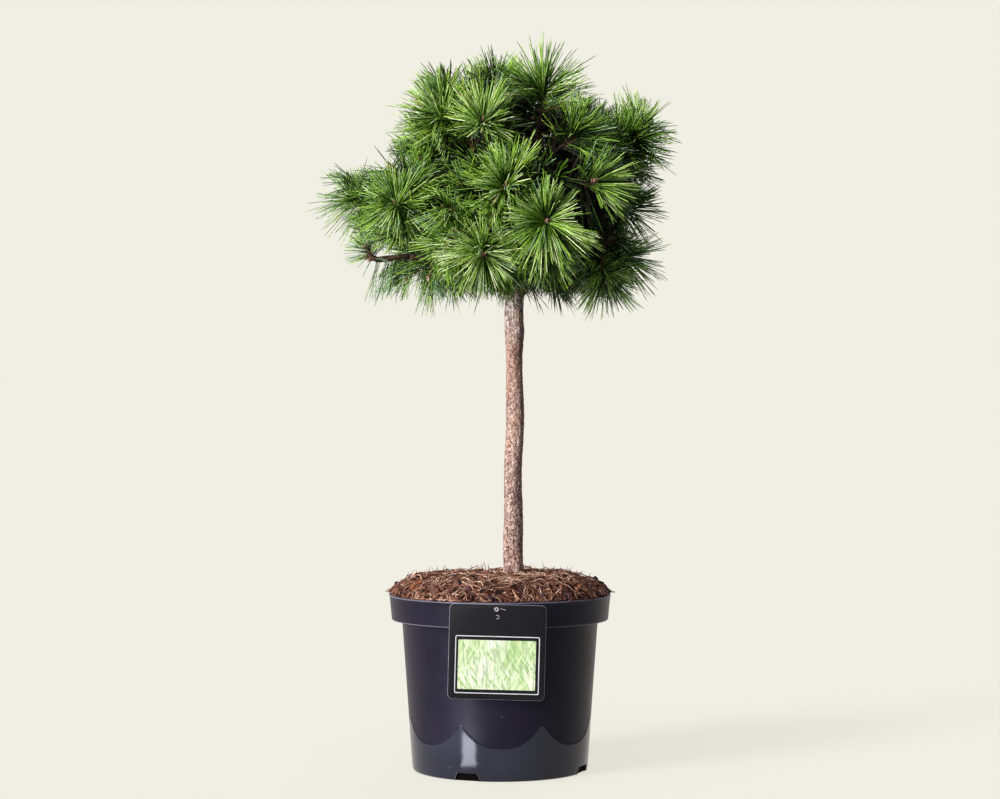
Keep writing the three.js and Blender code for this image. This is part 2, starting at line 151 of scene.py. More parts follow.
def piece(ob, slot, *nodes):
    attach(ob, "root")
    if nodes:
        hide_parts(*nodes)
    return ob


def attribute(ob, name, values):
    a = ob.data.attributes.new(name, "FLOAT", "POINT")
    a.data.foreach_set("value", np.asarray(values, np.float32))


def srgb(r, g, b):
    return [((c / 255) / 12.92 if c <= 10.3 else (((c / 255) + 0.055) / 1.055) ** 2.4) for c in (r, g, b)] + [1.0]


def material(name, rough=0.6, color=None, specular=0.5):
    m = bpy.data.materials.new(name)
    m.use_nodes = True
    b = m.node_tree.nodes["Principled BSDF"]
    b.inputs["Roughness"].default_value = rough
    b.inputs["Specular IOR Level"].default_value = specular
    if color is not None:
        b.inputs["Base Color"].default_value = color
        m.diffuse_color = color
    return m, m.node_tree, b


def node(tree, kind, **values):
    n = tree.nodes.new(kind)
    for k, v in values.items():
        if k.startswith("i_"):
            n.inputs[k[2:].replace("_", " ")].default_value = v
        else:
            setattr(n, k, v)
    return n


def ramp(tree, source, stops, interpolation="LINEAR"):
    n = tree.nodes.new("ShaderNodeValToRGB")
    e = n.color_ramp.elements
    n.color_ramp.interpolation = interpolation
    while len(e) < len(stops):
        e.new(0.5)
    for k, (pos, col) in enumerate(stops):
        e[k].position = pos
        e[k].color = col
    tree.links.new(source, n.inputs[0])
    return n.outputs[0]


def tube(path, radius, sides, name=None):
    """Rings along a path (n,3) with radius (n) or (n,sides); returns verts and quads."""
    n = len(path)
    tang = np.gradient(path, axis=0)
    tang = unit(tang)
    ref = np.array([0.0, 0.0, 1.0]) if abs(tang[0][2]) < 0.9 else np.array([1.0, 0.0, 0.0])
    u = unit(np.cross(tang[0], ref))
    us = [u]
    for k in range(1, n):
        u = us[-1] - tang[k] * np.dot(us[-1], tang[k])
        us.append(u / np.linalg.norm(u))
    us = np.array(us)
    vs = np.cross(tang, us)
    a = np.arange(sides) * 2 * np.pi / sides
    r = np.asarray(radius, float)
    if r.ndim == 1:
        r = np.repeat(r[:, None], sides, 1)
    ring = us[:, None] * np.cos(a)[None, :, None] + vs[:, None] * np.sin(a)[None, :, None]
    verts = path[:, None] + ring * r[:, :, None]
    idx = np.arange(n * sides).reshape(n, sides)
    nxt = np.roll(idx, -1, 1)
    quads = np.stack([idx[:-1], nxt[:-1], nxt[1:], idx[1:]], -1).reshape(-1, 4)
    return verts.reshape(-1, 3), quads, ring.reshape(-1, 3)


# ------------------------------------------------------------------- camera
cam_data = bpy.data.cameras.new("camera")
cam = bpy.data.objects.new("camera", cam_data)
bpy.context.scene.collection.objects.link(cam)
cam.location = (0.0, -3.0, 0.4662)
cam.rotation_euler = (math.radians(90), 0, 0)
cam_data.sensor_width = 36
cam_data.lens = 85.43
cam_data.clip_end = 50
bpy.context.scene.camera = cam

# ----------------------------------------------------- sizes shared with CAD
STEM = np.array([
    [241, 16.8, 0.0, 14.6], [247, 16.7, 0.0, 12.9], [262, 16.5, 0.0, 12.3], [288, 16.4, 0.2, 12.0],
    [326, 16.6, 0.3, 11.0], [364, 16.2, 0.2, 10.3], [440, 19.1, -0.3, 10.6],
    [516, 17.7, -0.2, 9.7], [554, 18.1, 0.0, 11.6], [579, 18.1, 0.2, 10.8],
    [630, 17.0, 1.0, 9.4], [645, 16.6, 1.2, 7.4], [652, 16.5, 1.2, 4.2]])
SHOOT = 58.0

MASSES = {
    "front_low_right":   ((56, -160, 690),   (0.15, -0.95, -0.08),  66, 34),
    "front_low_left":    ((-22, -146, 658),  (-0.05, -0.85, -0.35), 64, 34),
    "front_middle":      ((5, -146, 738),    (0.05, -0.78, 0.5),    64, 30),
    "front_upper":       ((-20, -110, 812),  (0, -0.85, 0.45),      64, 30),
    "upper_left":        ((-75, -48, 827),   (-0.35, -0.45, 0.75),  57, 28),
    "top_left":          ((-12, 14, 858),    (-0.2, 0.1, 0.95),     56, 26),
    "top":               ((56, -18, 864),    (0.12, -0.15, 0.97),   60, 24),
    "upper_right_front": ((88, -95, 797),    (0.45, -0.6, 0.6),     64, 26),
    "upper_right":       ((164, -30, 794),   (0.7, -0.3, 0.55),     62, 30),
    "right_top_back":    ((124, 52, 806),    (0.45, 0.4, 0.75),     58, 26),
    "right_front":       ((113, -115, 740),  (0.6, -0.75, 0.15),    64, 30),
    "right":             ((166, 42, 722),    (0.9, 0.25, 0.1),      58, 26),
    "right_low":         ((160, -26, 655),   (0.9, -0.25, -0.05),   54, 28),
    "right_low_front":   ((132, -50, 618),   (0.4, -0.3, -0.75),    50, 24),
    "left_front":        ((-128, -92, 712),  (-0.35, -0.88, 0.1),   64, 34),
    "far_left":          ((-190, 8, 728),    (-0.9, 0.0, 0.3),      48, 20),
    "left_low":          ((-150, -76, 646),  (-0.95, -0.25, -0.12), 42, 22),
    "low_left_front":    ((-87, -70, 622),   (-0.3, -0.45, -0.7),   48, 24),
    "back_low":          ((10, 158, 672),    (0.05, 0.95, -0.1),    62, 32),
    "back_right_low":    ((112, 118, 664),   (0.65, 0.7, -0.05),    60, 30),
    "back_left_low":     ((-104, 112, 664),  (-0.65, 0.7, -0.05),   58, 28),
    "back_right":        ((108, 118, 742),   (0.6, 0.7, 0.35),      60, 28),
    "back_left":         ((-94, 94, 730),    (-0.6, 0.65, 0.35),    57, 26),
    "back_middle":       ((0, 150, 752),     (0, 0.85, 0.5),        62, 30),
    "back_top":          ((32, 84, 818),     (0.1, 0.5, 0.85),      58, 26),
}

LIMBS = [
    ("bough_top",              "stem", 0.985, "top",               (8.4, 4.4), 30, (0.5, -0.1, 0.9)),
    ("bough_upper_left",       "stem", 0.955, "upper_left",        (7.6, 4.0), 16, None),
    ("bough_front",            "stem", 0.915, "front_low_right",   (8.0, 4.2), -6, None),
    ("bough_left",             "stem", 0.925, "far_left",          (7.6, 3.4), 4, None),
    ("bough_right",            "stem", 0.945, "upper_right",       (7.8, 4.0), 4, None),
    ("bough_right_low",        "stem", 0.885, "right_low",         (7.4, 4.4), -4, None),
    ("bough_right_low_front",  "stem", 0.858, "right_low_front",   (6.0, 3.4), 10, None),
    ("bough_left_low",         "stem", 0.875, "left_low",          (7.0, 3.2), 2, None),
    ("bough_back",             "stem", 0.935, "back_middle",       (7.8, 4.0), 0, None),
    ("bough_back_left",        "stem", 0.905, "back_left_low",     (7.2, 3.8), 0, None),
    ("bough_back_right",       "stem", 0.895, "back_right_low",    (7.2, 3.8), 0, None),
    ("branch_front_middle",    "bough_front", 0.42, "front_middle",      (5.0, 3.0), 8, None),
    ("branch_front_low_left",  "bough_front", 0.30, "front_low_left",    (5.0, 3.0), -6, None),
    ("branch_front_upper",     "bough_upper_left", 0.30, "front_upper",  (5.2, 3.0), 10, None),
    ("branch_top_left",        "bough_upper_left", 0.42, "top_left",     (4.8, 2.8), 10, None),
    ("branch_upper_right_front", "bough_top", 0.34, "upper_right_front", (5.0, 3.0), 6, None),
    ("branch_back_top",        "bough_top", 0.22, "back_top",            (5.0, 3.0), 12, None),
    ("branch_right_front",     "bough_right", 0.26, "right_front",       (5.2, 3.0), 0, None),
    ("branch_right_top_back",  "bough_right", 0.40, "right_top_back",    (4.8, 2.8), 8, None),
    ("branch_right",           "bough_right", 0.52, "right",             (4.6, 2.8), 0, None),
    ("branch_left_front",      "bough_left", 0.36, "left_front",         (5.2, 3.2), 0, None),
    ("branch_low_left_front",  "bough_left_low", 0.38, "low_left_front", (4.4, 2.6), 0, None),
    ("branch_back_low",        "bough_back", 0.34, "back_low",           (5.0, 3.0), -4, None),
    ("branch_back_left",       "bough_back_left", 0.40, "back_left",     (4.8, 3.0), 8, None),
    ("branch_back_right",      "bough_back_right", 0.40, "back_right",   (4.8, 3.0), 8, None),
]


class Bezier:
    """The limb's line: a cubic, used from its foot to a share `end` of its parameter."""

    def __init__(self, p, end=1.0):
        self.p = np.array(p, float)
        self.end = end
        self.table()

    def at(self, t):
        t = np.atleast_1d(t)[:, None]
        p = self.p
        return (1 - t) ** 3 * p[0] + 3 * (1 - t) ** 2 * t * p[1] + 3 * (1 - t) * t * t * p[2] + t ** 3 * p[3]

    def table(self):
        s = np.linspace(0, self.end, 401)
        q = self.at(s)
        self.s = s
        self.len = np.concatenate([[0], np.cumsum(np.linalg.norm(np.diff(q, axis=0), axis=1))])

    def along(self, f):
        """Points at shares of the arc length."""
        s = np.interp(np.atleast_1d(f) * self.len[-1], self.len, self.s)
        return self.at(s)

    def tangent(self, f):
        a = self.along(max(0, f - 0.005))[0]
        b = self.along(min(1, f + 0.005))[0]
        return unit(b - a)


def stem_at(f):
    z = STEM[0, 0] + f * (STEM[-1, 0] - STEM[0, 0])
    return np.array([np.interp(z, STEM[:, 0], STEM[:, 1]), np.interp(z, STEM[:, 0], STEM[:, 2]), z])


full, part = {}, {}
SAG = {"bough_left_low": 8.0}
for name, parent, at, mass, radii, lift, out in LIMBS:
    tip, face, reach, spread = MASSES[mass]
    face = unit(face)
    start = stem_at(at) if parent == "stem" else part[parent].along(at)[0]
    end = np.array(tip, float) - face * SHOOT * 0.7
    span = np.linalg.norm(end - start)
    away = (end - start) / span
    if out is not None:
        first = unit(out)
    elif parent == "stem":
        first = unit([away[0], away[1], away[2] * 0.4 + 0.35])
    else:
        tang = part[parent].tangent(at)
        first = unit(tang + (away - tang) * 0.55)
    a = start + first * span * 0.36
    b = end - unit(face * 0.5 + away * 0.5) * span * 0.34
    a[2] += lift * 0.5
    b[2] += lift
    curve = Bezier([start, a, b, end])
    # the solid ends where it enters its mass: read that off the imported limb
    co = np.array([v.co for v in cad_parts[name].data.vertices], float) * 1000
    samples = curve.at(np.linspace(0, 1, 201))
    near = np.argmin(np.linalg.norm(co[:, None] - samples[None], axis=2), axis=1)
    # the bare bough hangs a little at its end
    drop = np.array([0, 0, SAG.get(name, 0.0)])
    shown = [start, a, b - drop * 0.9, end - drop]
    part[name] = Bezier(shown, end=min(1.0, near.max() / 200))
    full[name] = Bezier(shown)

# ------------------------------------------------------------------ shoots
rng = np.random.default_rng(20261)
names = list(MASSES)
centres = {m: np.array(v[0], float) - unit(v[1]) * v[2] * 0.38 for m, v in MASSES.items()}
CENTRE = np.array([centres[m] for m in names])
POWER = np.array([float(MASSES[m][2]) ** 2 for m in names])
LIMB_OF = {row[3]: row for row in LIMBS}
WEAK = {"left_low"}                     # an old bough with little left on it
SPARSE = {"low_left_front": 0.50, "right_low_front": 0.76, "right_low": 0.86, "far_left": 0.72, "upper_right": 0.9, "back_left_low": 0.85, "back_right_low": 0.88}
FINE = {"left_low": 0.68, "low_left_front": 0.74, "left_front": 0.86, "right_low": 0.84, "right_low_front": 0.82, "far_left": 0.84, "upper_right": 0.92, "back_left_low": 0.9, "back_right_low": 0.9}     # thinner needles
NEAR = {"front_upper": 0.80, "front_middle": 0.86, "upper_right_front": 0.84, "right_front": 0.90, "left_front": 0.83, "front_low_right": 0.94, "front_low_left": 0.94}
# the shaded side of a spray, where its needles have dropped: direction, cosine from which they are few
BARE = {"right_front": ((-1.0, 0.0, -0.15), 0.10), "upper_right_front": ((-0.35, 0.0, -1.0), 0.15), "front_middle": ((0.96, 0.0, -0.3), 0.40),
        "top": ((0.15, 0.0, -1.0), 0.10), "front_upper": ((-0.35, 0.0, -0.94), 0.22), "upper_right": ((-0.5, 0.0, -0.9), 0.35)}
# base tone of each spray: partly its own tone, partly painted light, higher for the sprays the lamps light most
SPRAY_TONE_AND_LIGHT = {"front_upper": 4.6, "front_middle": 4.8, "upper_right_front": 3.9, "right_front": 4.0, "left_front": 4.8, "front_low_right": 4.6, "front_low_left": 5.5,
         "upper_left": 5.1, "top_left": 5.0, "top": 4.9, "far_left": 4.0, "upper_right": 4.2, "right_low": 4.2, "low_left_front": 4.2}
TEAL = {"far_left": 0.30, "left_low": 0.5, "low_left_front": 0.3, "left_front": 0.10, "right_low": 0.2, "upper_right": 0.14}     # share of bluish needles
WARM = {"upper_left": 0.16, "front_middle": 0.14, "front_upper": 0.08}     # share of yellowish ones
HOLLOW = (np.array([40.0, -80, 832]), np.array([112.0, -84, 672]), 34.0)      # dark opening in the front of the crown
# where a spray's needles are longest, and by how much; how far a leading shoot is off its mass's own tip
STRETCH = {"top": (((-0.80, 0.0, 0.60), 0.24), ((0.98, 0.0, 0.20), 0.26), ((0.2, -0.2, 1.0), -0.20)), "front_upper": (((0.5, -0.1, 0.85), 0.30),),
           "front_middle": (((0.1, -0.1, 1.0), 0.18),), "left_front": (((0.75, -0.2, 0.6), 0.22),),
           "front_low_right": (((0.1, -0.1, -1.0), 0.14),), "front_low_left": (((0.0, -0.1, -1.0), -0.16),)}
SHIFT = {"top": (-5.0, -6.0, -5.0), "front_middle": (2.0, 0.0, -8.0), "left_front": (0.0, 0.0, 5.0), "front_low_left": (2.0, 0.0, -12.0),
         "upper_right_front": (6.0, 0.0, 2.0), "far_left": (0.0, 0.0, 2.0)}
LEAN = {"top": (-0.34, -0.42, 0.84), "front_low_left": (-0.05, -0.96, -0.16)}      # where a leading shoot points, if not as its mass
STRONG = {"low_left_front": 0.9, "left_low": 1.16, "top": 1.08, "top_left": 1.08, "upper_left": 1.07, "upper_right": 1.0, "far_left": 1.12}   # longest needles
MORE = {"upper_left": [(-94, -34, 798), (-82, -62, 770), (-66, -18, 856), (-82, -14, 818)], "top_left": [(-34, -12, 850), (-6, 0, 872)], "top": [(92, -28, 812)],
        "upper_right": [(180, -30, 811), (150, -22, 798)], "left_front": [(-112, -82, 742)], "front_middle": [(22, -132, 748)], "left_low": [(-165, -80, 655)], "far_left": [(-190, -10, 747)],
        "front_low_left": [(-6, -62, 634), (20, -74, 634), (4, -96, 636), (12, -40, 636)], "front_low_right": [(44, -84, 648), (30, -56, 644)]}     # further side shoots


def trespass(points, mass):
    """How far points lie over the border to the nearest neighbour (a difference of squares)."""
    d = ((points[:, None] - CENTRE[None]) ** 2).sum(2) - POWER[None]
    k = names.index(mass)
    own = d[:, k].copy()
    d[:, k] = 1e9
    return own - d.min(1)


def bent_line(start, direction, length, toward, bend, n=7):
    pts = [np.array(start, float)]
    d = unit(direction)
    for k in range(n - 1):
        pts.append(pts[-1] + d * length / (n - 1))
        d = unit(d + np.array(toward) * bend / (n - 1))
    return np.array(pts)


def on_line(line, s):
    seg = np.concatenate([[0], np.cumsum(np.linalg.norm(np.diff(line, axis=0), axis=1))])
    s = np.clip(s, 0, seg[-1])
    return np.stack([np.interp(s, seg, line[:, c]) for c in range(3)], 1), seg[-1]


def mulberry(seed):
    """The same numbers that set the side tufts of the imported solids."""
    full32 = 0xFFFFFFFF
    state = [seed & full32]

    def draw():
        state[0] = (state[0] + 0x6D2B79F5) & full32
        a = state[0]
        t = ((a ^ (a >> 15)) * (1 | a)) & full32
        t = ((t + (((t ^ (t >> 7)) * (61 | t)) & full32)) & full32) ^ t
        return ((t ^ (t >> 14)) & full32) / 4294967296

    return draw


def cubic(p0, p1, p2, p3, n):
    t = np.linspace(0, 1, n)[:, None]
    return (1 - t) ** 3 * p0 + 3 * (1 - t) ** 2 * t * p1 + 3 * (1 - t) * t * t * p2 + t ** 3 * p3


def in_hollow(points):
    """How deep points lie in the opening: 1 on its middle line, 0 on its border."""
    a, b, r = HOLLOW
    share = np.clip(((points - a) @ (b - a)) / ((b - a) @ (b - a)), 0, 1)
    gap = (points - a - share[:, None] * (b - a)) * np.array([1.0, 0.55, 1.0])
    return 1 - np.linalg.norm(gap, axis=1) / r


def left_open(points):
    """Sky between the sprays: under the outermost one on the left, between the hanging needles, and beside the stem."""
    x, y, z = points[:, 0], points[:, 1], points[:, 2]
    return (((x < -160) & (z < 645 - 0.6 * (x + 169))) | ((x < -218) & (z < 697))
            | ((x > -138) & (x < -98) & (z > 598) & (z < 630) & (y < 50)) | ((x > -162) & (x < -106) & (z < 636) & (y >= 50))
            | ((x > 28) & (x < 68) & (z < 605) & (y > -70)))


def by_old_bough(points):
    """Just above and over the bare bough on the left, as seen from the front."""
    x, z = points[:, 0], points[:, 2]
    return (x > -172) & (x < -84) & (np.abs(z - (642 + 0.02 * (x + 150))) < 9) & (points[:, 1] < -40)


UP = np.array([0.0, 0.0, 1.0])
shoots = []
for index, (mass, (tip, face, reach, spread)) in enumerate(MASSES.items()):
    row = LIMB_OF[mass]
    curve = full[row[0]]
    face = unit(face)
    tip = np.array(tip, float)
    level = 1 - abs(face[2])                       # 1 for a shoot that lies level
    axis = unit(face + UP * (0.15 + 0.45 * level)) if face[2] > -0.2 else face
    bud = tip - UP * 11 * level if face[2] > -0.2 else tip - UP * 5
    bud = bud + np.array(SHIFT.get(mass, (0.0, 0.0, 0.0)))
    axis = unit(LEAN.get(mass, axis))
    if mass in WEAK:
        axis, bud = unit(face + UP * 0.22), tip + np.array([-10.0, 0, -6.0])
    tail = curve.along(np.linspace(1 - min(0.9, 90 / curve.len[-1]), 1, 10))
    end = tail[-1]
    span = np.linalg.norm(bud - end)
    new = cubic(end, end + curve.tangent(1.0) * span * 0.4, bud - axis * span * 0.45, bud, 9)
    line = np.vstack([tail[:-1], new])
    shoots.append(dict(line=line, tube=new, r=(row[4][1] * 0.97, 3.3) if mass in WEAK else (row[4][1] * 0.77, 2.0), mass=mass, rank=0, reach=reach * STRONG.get(mass, NEAR.get(mass, 1.0)), fan=1.0 if face[2] > 0.46 else 0.0))
    # side shoots from the whorl
    draw = mulberry(index + 11)
    whorl = tip - face * SHOOT
    side = unit(np.cross(face, UP if abs(face[2]) < 0.9 else np.array([1.0, 0, 0])))
    up = unit(np.cross(side, face))
    # the foot of a side shoot sits on the bough nearest the whorl
    dense, _ = on_line(line, np.linspace(0, 400, 200))
    for k in range(6):
        turn = k * 2.39996 + draw() * 0.7 + index + 11
        open_ = math.radians(48 + 40 * draw())
        length = (spread + 16) * (0.85 + 0.3 * draw())
        r = reach * 0.74 * (0.9 + 0.2 * draw())
        d = face * math.cos(open_) + side * math.sin(open_) * math.cos(turn) + up * math.sin(open_) * math.sin(turn)
        middle = whorl + d * length
        if mass in WEAK and middle[2] > tip[2] - 6:
            continue
        near = dense[np.argmin(((dense - whorl) ** 2).sum(1))]
        near = near + (dense[max(0, np.argmin(((dense - whorl) ** 2).sum(1)) - int(rng.integers(0, 6)))] - near) * 0.8
        head = unit(d + face * 0.25 + UP * 0.25)
        last = middle + head * 8
        over = trespass(middle[None], mass)[0]
        if over > 2500 or in_hollow(last[None])[0] > 0.1:      # would grow deep into a neighbour, or in the opening
            continue
        span = np.linalg.norm(last - near)
        pts = cubic(near, near + d * span * 0.35, last - head * span * 0.4, last, 8)
        shoots.append(dict(line=pts, tube=pts, r=(2.5, 1.6), mass=mass, rank=1, reach=r, fan=0.7))
    for goal in MORE.get(mass, ()):
        goal = np.array(goal, float)
        anchor = goal + np.array([9.0, 2.0, -10.0]) if mass in WEAK else goal * 0.45 + whorl * 0.55
        near = dense[np.argmin(((dense - anchor) ** 2).sum(1))]
        d = unit(goal - near)
        head = unit(d + (UP * 0.6 if goal[2] > 700 or mass in WEAK else np.array([0, -0.5, -0.7])))
        span = np.linalg.norm(goal - near)
        pts = cubic(near, near + d * span * 0.35, goal - head * span * 0.4, goal, 8)
        shoots.append(dict(line=pts, tube=pts, r=(2.6, 1.6), mass=mass, rank=1, reach=reach * (0.84 if goal[2] > 700 else 0.68), fan=0.7, bright=mass == "front_middle"))
    # low sprays also have shoots that hang
    if tip[2] < 700 and mass not in WEAK:
        for k in range(2):
            d = unit(face * 0.45 + side * (k - 0.5) * 1.3 + np.array([0, 0, -0.7]))
            near, _ = on_line(line, np.array([rng.uniform(25, 75)]))
            near = near[0]
            last = near + d * (spread + 14) * rng.uniform(0.8, 1.1)
            last[2] = max(last[2], rng.uniform(621, 642) + (18 if tip[1] > 50 else 0))
            if trespass(last[None], mass)[0] > 3500:
                continue
            span = np.linalg.norm(last - near)
            pts = cubic(near, near + unit(d + face * 0.8) * span * 0.4, last - unit(d + face * 0.3) * span * 0.4, last, 8)
            shoots.append(dict(line=pts, tube=pts, r=(2.4, 1.5), mass=mass, rank=1, reach=reach * 0.70, fan=0.8))
    # what is left of earlier years along the bough
    old = curve.along(np.linspace(0.42, 0.93, 12))
    if row[1] == "stem" and tip[2] < 700 and mass not in WEAK:
        under = curve.along(np.linspace(0.10, 0.50, 10))
        shoots.append(dict(line=under, tube=None, r=None, mass=mass, rank=2, reach=44, fan=0.0, hang=True))
    shoots.append(dict(line=old, tube=None, r=None, mass=mass, rank=2, reach=reach * 0.66, fan=0.0))

# ----------------------------------------------------------------- needles
TONES = [
    srgb(13, 22, 3), srgb(24, 42, 5), srgb(42, 70, 9), srgb(68, 104, 20), srgb(98, 140, 40),
    srgb(125, 166, 58), srgb(152, 188, 88), srgb(179, 206, 121), srgb(206, 222, 164),
    srgb(76, 110, 70), srgb(130, 162, 122), srgb(152, 186, 60), srgb(146, 114, 66), srgb(104, 84, 60), srgb(50, 40, 26),
]
DEEPEST, LIGHTEST, BLUE, BLUE_LIGHT, YELLOW, STRAW, SHEATH, OLD = 0, 8, 9, 10, 11, 12, 13, 14
needle_mats = [material(f"needle_tone_{k}", rough=0.42, color=c, specular=0.29)[0] for k, c in enumerate(TONES)]


def prisms(base, direction, bend, length, width, tones, sheath=False, fine=False):
    """Slim three-sided needles, each curved, drawn in at the foot and pointed at the end."""
    n = len(base)
    side = unit(np.cross(direction, rng.normal(size=(n, 3))))
    up = np.cross(direction, side)
    rings = (0.0, 1.0) if sheath else ((0.0, 0.5, 0.92) if fine else (0.0, 0.74))
    girth = (0.75, 1.0) if sheath else ((0.75, 1.0, 0.8) if fine else (0.85, 1.0))
    count = len(rings) * 3 + (0 if sheath else 1)
    verts = np.zeros((n, count, 3))
    ang = rng.uniform(0, 6.28, n)
    for k, t in enumerate(rings):
        centre = base + direction * (length * t)[:, None] + bend * (length * t * t)[:, None]
        for j in range(3):
            a = ang + j * 2 * np.pi / 3 + 0.4 * t
            verts[:, k * 3 + j] = centre + (side * np.cos(a)[:, None] + up * np.sin(a)[:, None]) * (width * 0.5 * girth[k])[:, None]
    off = (np.arange(n) * count)[:, None]
    quads, qm, tris, tm = [], [], [], []
    for k in range(len(rings) - 1):
        for j in range(3):
            j2 = (j + 1) % 3
            quads.append(np.concatenate([off + k * 3 + j, off + k * 3 + j2, off + k * 3 + 3 + j2, off + k * 3 + 3 + j], 1))
            qm.append(tones[k])
    if not sheath:
        verts[:, -1] = base + direction * length[:, None] + bend * length[:, None]
        k = len(rings) - 1
        for j in range(3):
            tris.append(np.concatenate([off + k * 3 + j, off + k * 3 + (j + 1) % 3, off + count - 1], 1))
            tm.append(tones[-1])
        tris, tm = np.concatenate(tris), np.concatenate(tm)
    else:
        tris, tm = np.zeros((0, 3), int), np.zeros(0, int)
    return verts.reshape(-1, 3), np.concatenate(quads), tris, np.concatenate(qm), tm


def vector_noise(p, freq, seed):
    return np.stack([vnoise(p, freq, seed + 31 * k) for k in range(3)], 1)


def needles_on(shoot, number):
    """Feet, directions and lengths of the needle pairs of one shoot."""
    line, reach, rank, mass = shoot["line"], shoot["reach"], shoot["rank"], shoot["mass"]
    weak = mass in WEAK and rank != 1
    _, total = on_line(line, np.array([0.0]))
    size = reach / (62, 47, 41)[rank]
    fan = shoot["fan"]
    count = int((430, 180, 84)[rank] * size * (0.22 if weak else SPARSE.get(mass, 1.0)))
    stretch = 92 if weak else (50, 34, total)[rank]
    u = rng.uniform(0, 0.92 if weak else 1, count) if rank == 2 or weak else np.clip(1 - np.abs(rng.normal(0, 0.48, count)), 0.0, 1.0)
    s = total - (1 - u) * stretch - 1.0
    p, _ = on_line(line, s)
    q, _ = on_line(line, s + 3)
    r, _ = on_line(line, s - 3)
    t = unit(q - r)
    side = unit(np.cross(t, [0.13, 0.21, 0.97]))
    up = np.cross(side, t)
    turn = np.arange(count) * 2.39996 + rng.uniform(-0.5, 0.5, count)
    out = side * np.cos(turn)[:, None] + up * np.sin(turn)[:, None]
    if weak:
        out = unit(out * 0.42 + np.array([-0.05, 0.05, -1.0]))
    elif shoot.get("hang"):
        out = unit(out * 0.7 + np.array([0, 0, -0.75]))
    if rank == 2 or weak:
        open_ = rng.normal(82 if weak else 66, 12, count)
    else:
        wide = (97 - 46 * u ** 1.3) * (1 - fan) + (90 - 48 * u ** 1.2) * fan
        open_ = wide + rng.normal(0, 10 + 4 * fan, count)
        front = (u > 0.7) & (rng.uniform(size=count) < 0.14 + 0.22 * fan)
        open_ = np.where(front, rng.uniform(10, 48, count), open_)
    open_ = np.radians(np.clip(open_, 14, 118))
    d = t * np.cos(open_)[:, None] + out * np.sin(open_)[:, None]
    # needles lean together in locks, with gaps between
    d = unit(d + 0.22 * vector_noise(d, 2.1, 100 + number) + 0.14 * vector_noise(d, 5.3, 300 + number))
    thin = 1.5 * vnoise(d, 2.6, 700 + number) + 0.6 * vnoise(d, 6.0, 750 + number)
    length = reach * rng.uniform(0.82, 1.08, count) * (1 + 0.14 * vnoise(d, 1.7, 900 + number))
    length = np.where(rng.uniform(size=count) < 0.12, length * rng.uniform(0.55, 0.88, count), length)
    if rank == 0:
        for way, more in STRETCH.get(mass, ()):
            length = length * (1 + more * np.clip(d @ unit(way), 0, 1))
    foot = p + out * (1.3 + 0.9 * (1 - u))[:, None]
    end = foot + d * (length * 0.82)[:, None]
    keep = trespass(end, mass) < (2300, 1100, 500)[rank]
    keep &= rng.uniform(-0.60, 0.40, count) < thin + (0.14 if rank == 0 else 0.22)
    middle = foot + d * (length * 0.6)[:, None]
    keep &= ~((np.maximum(in_hollow(end), in_hollow(middle)) > 0) & (rng.uniform(size=count) < (0.84 if rank == 0 else 0.95)))
    if not weak:
        over = by_old_bough(end) | by_old_bough(middle) | by_old_bough(foot + d * (length * 0.95)[:, None])
        keep &= ~(over & (rng.uniform(size=count) < np.where(end[:, 0] > -134, 0.45, 0.93)))
    if mass not in WEAK or rank == 0:
        keep &= ~((left_open(end) | left_open(middle)) & (rng.uniform(size=count) < np.where(weak, np.where(end[:, 0] < -134, 0.0, 0.70), 0.86)))
    if mass in ("left_front", "far_left"):
        keep &= ~((end[:, 2] > 755) & (end[:, 0] < -126) & (rng.uniform(size=count) < 0.9))
    if (rank == 0 or shoot.get("bright")) and mass in BARE:
        shaded, limit = BARE[mass]
        keep &= ~((d @ unit(shaded) > limit) & (rng.uniform(size=count) < 0.86))
    foot, d, length, u = foot[keep], d[keep], length[keep], u[keep]
    lean = unit(np.cross(d, rng.normal(size=d.shape)))
    split = np.tan(np.radians(rng.uniform(1.4, 6.5, len(d))))[:, None]
    return foot, d, unit(d + lean * split), unit(d - lean * split), length, u


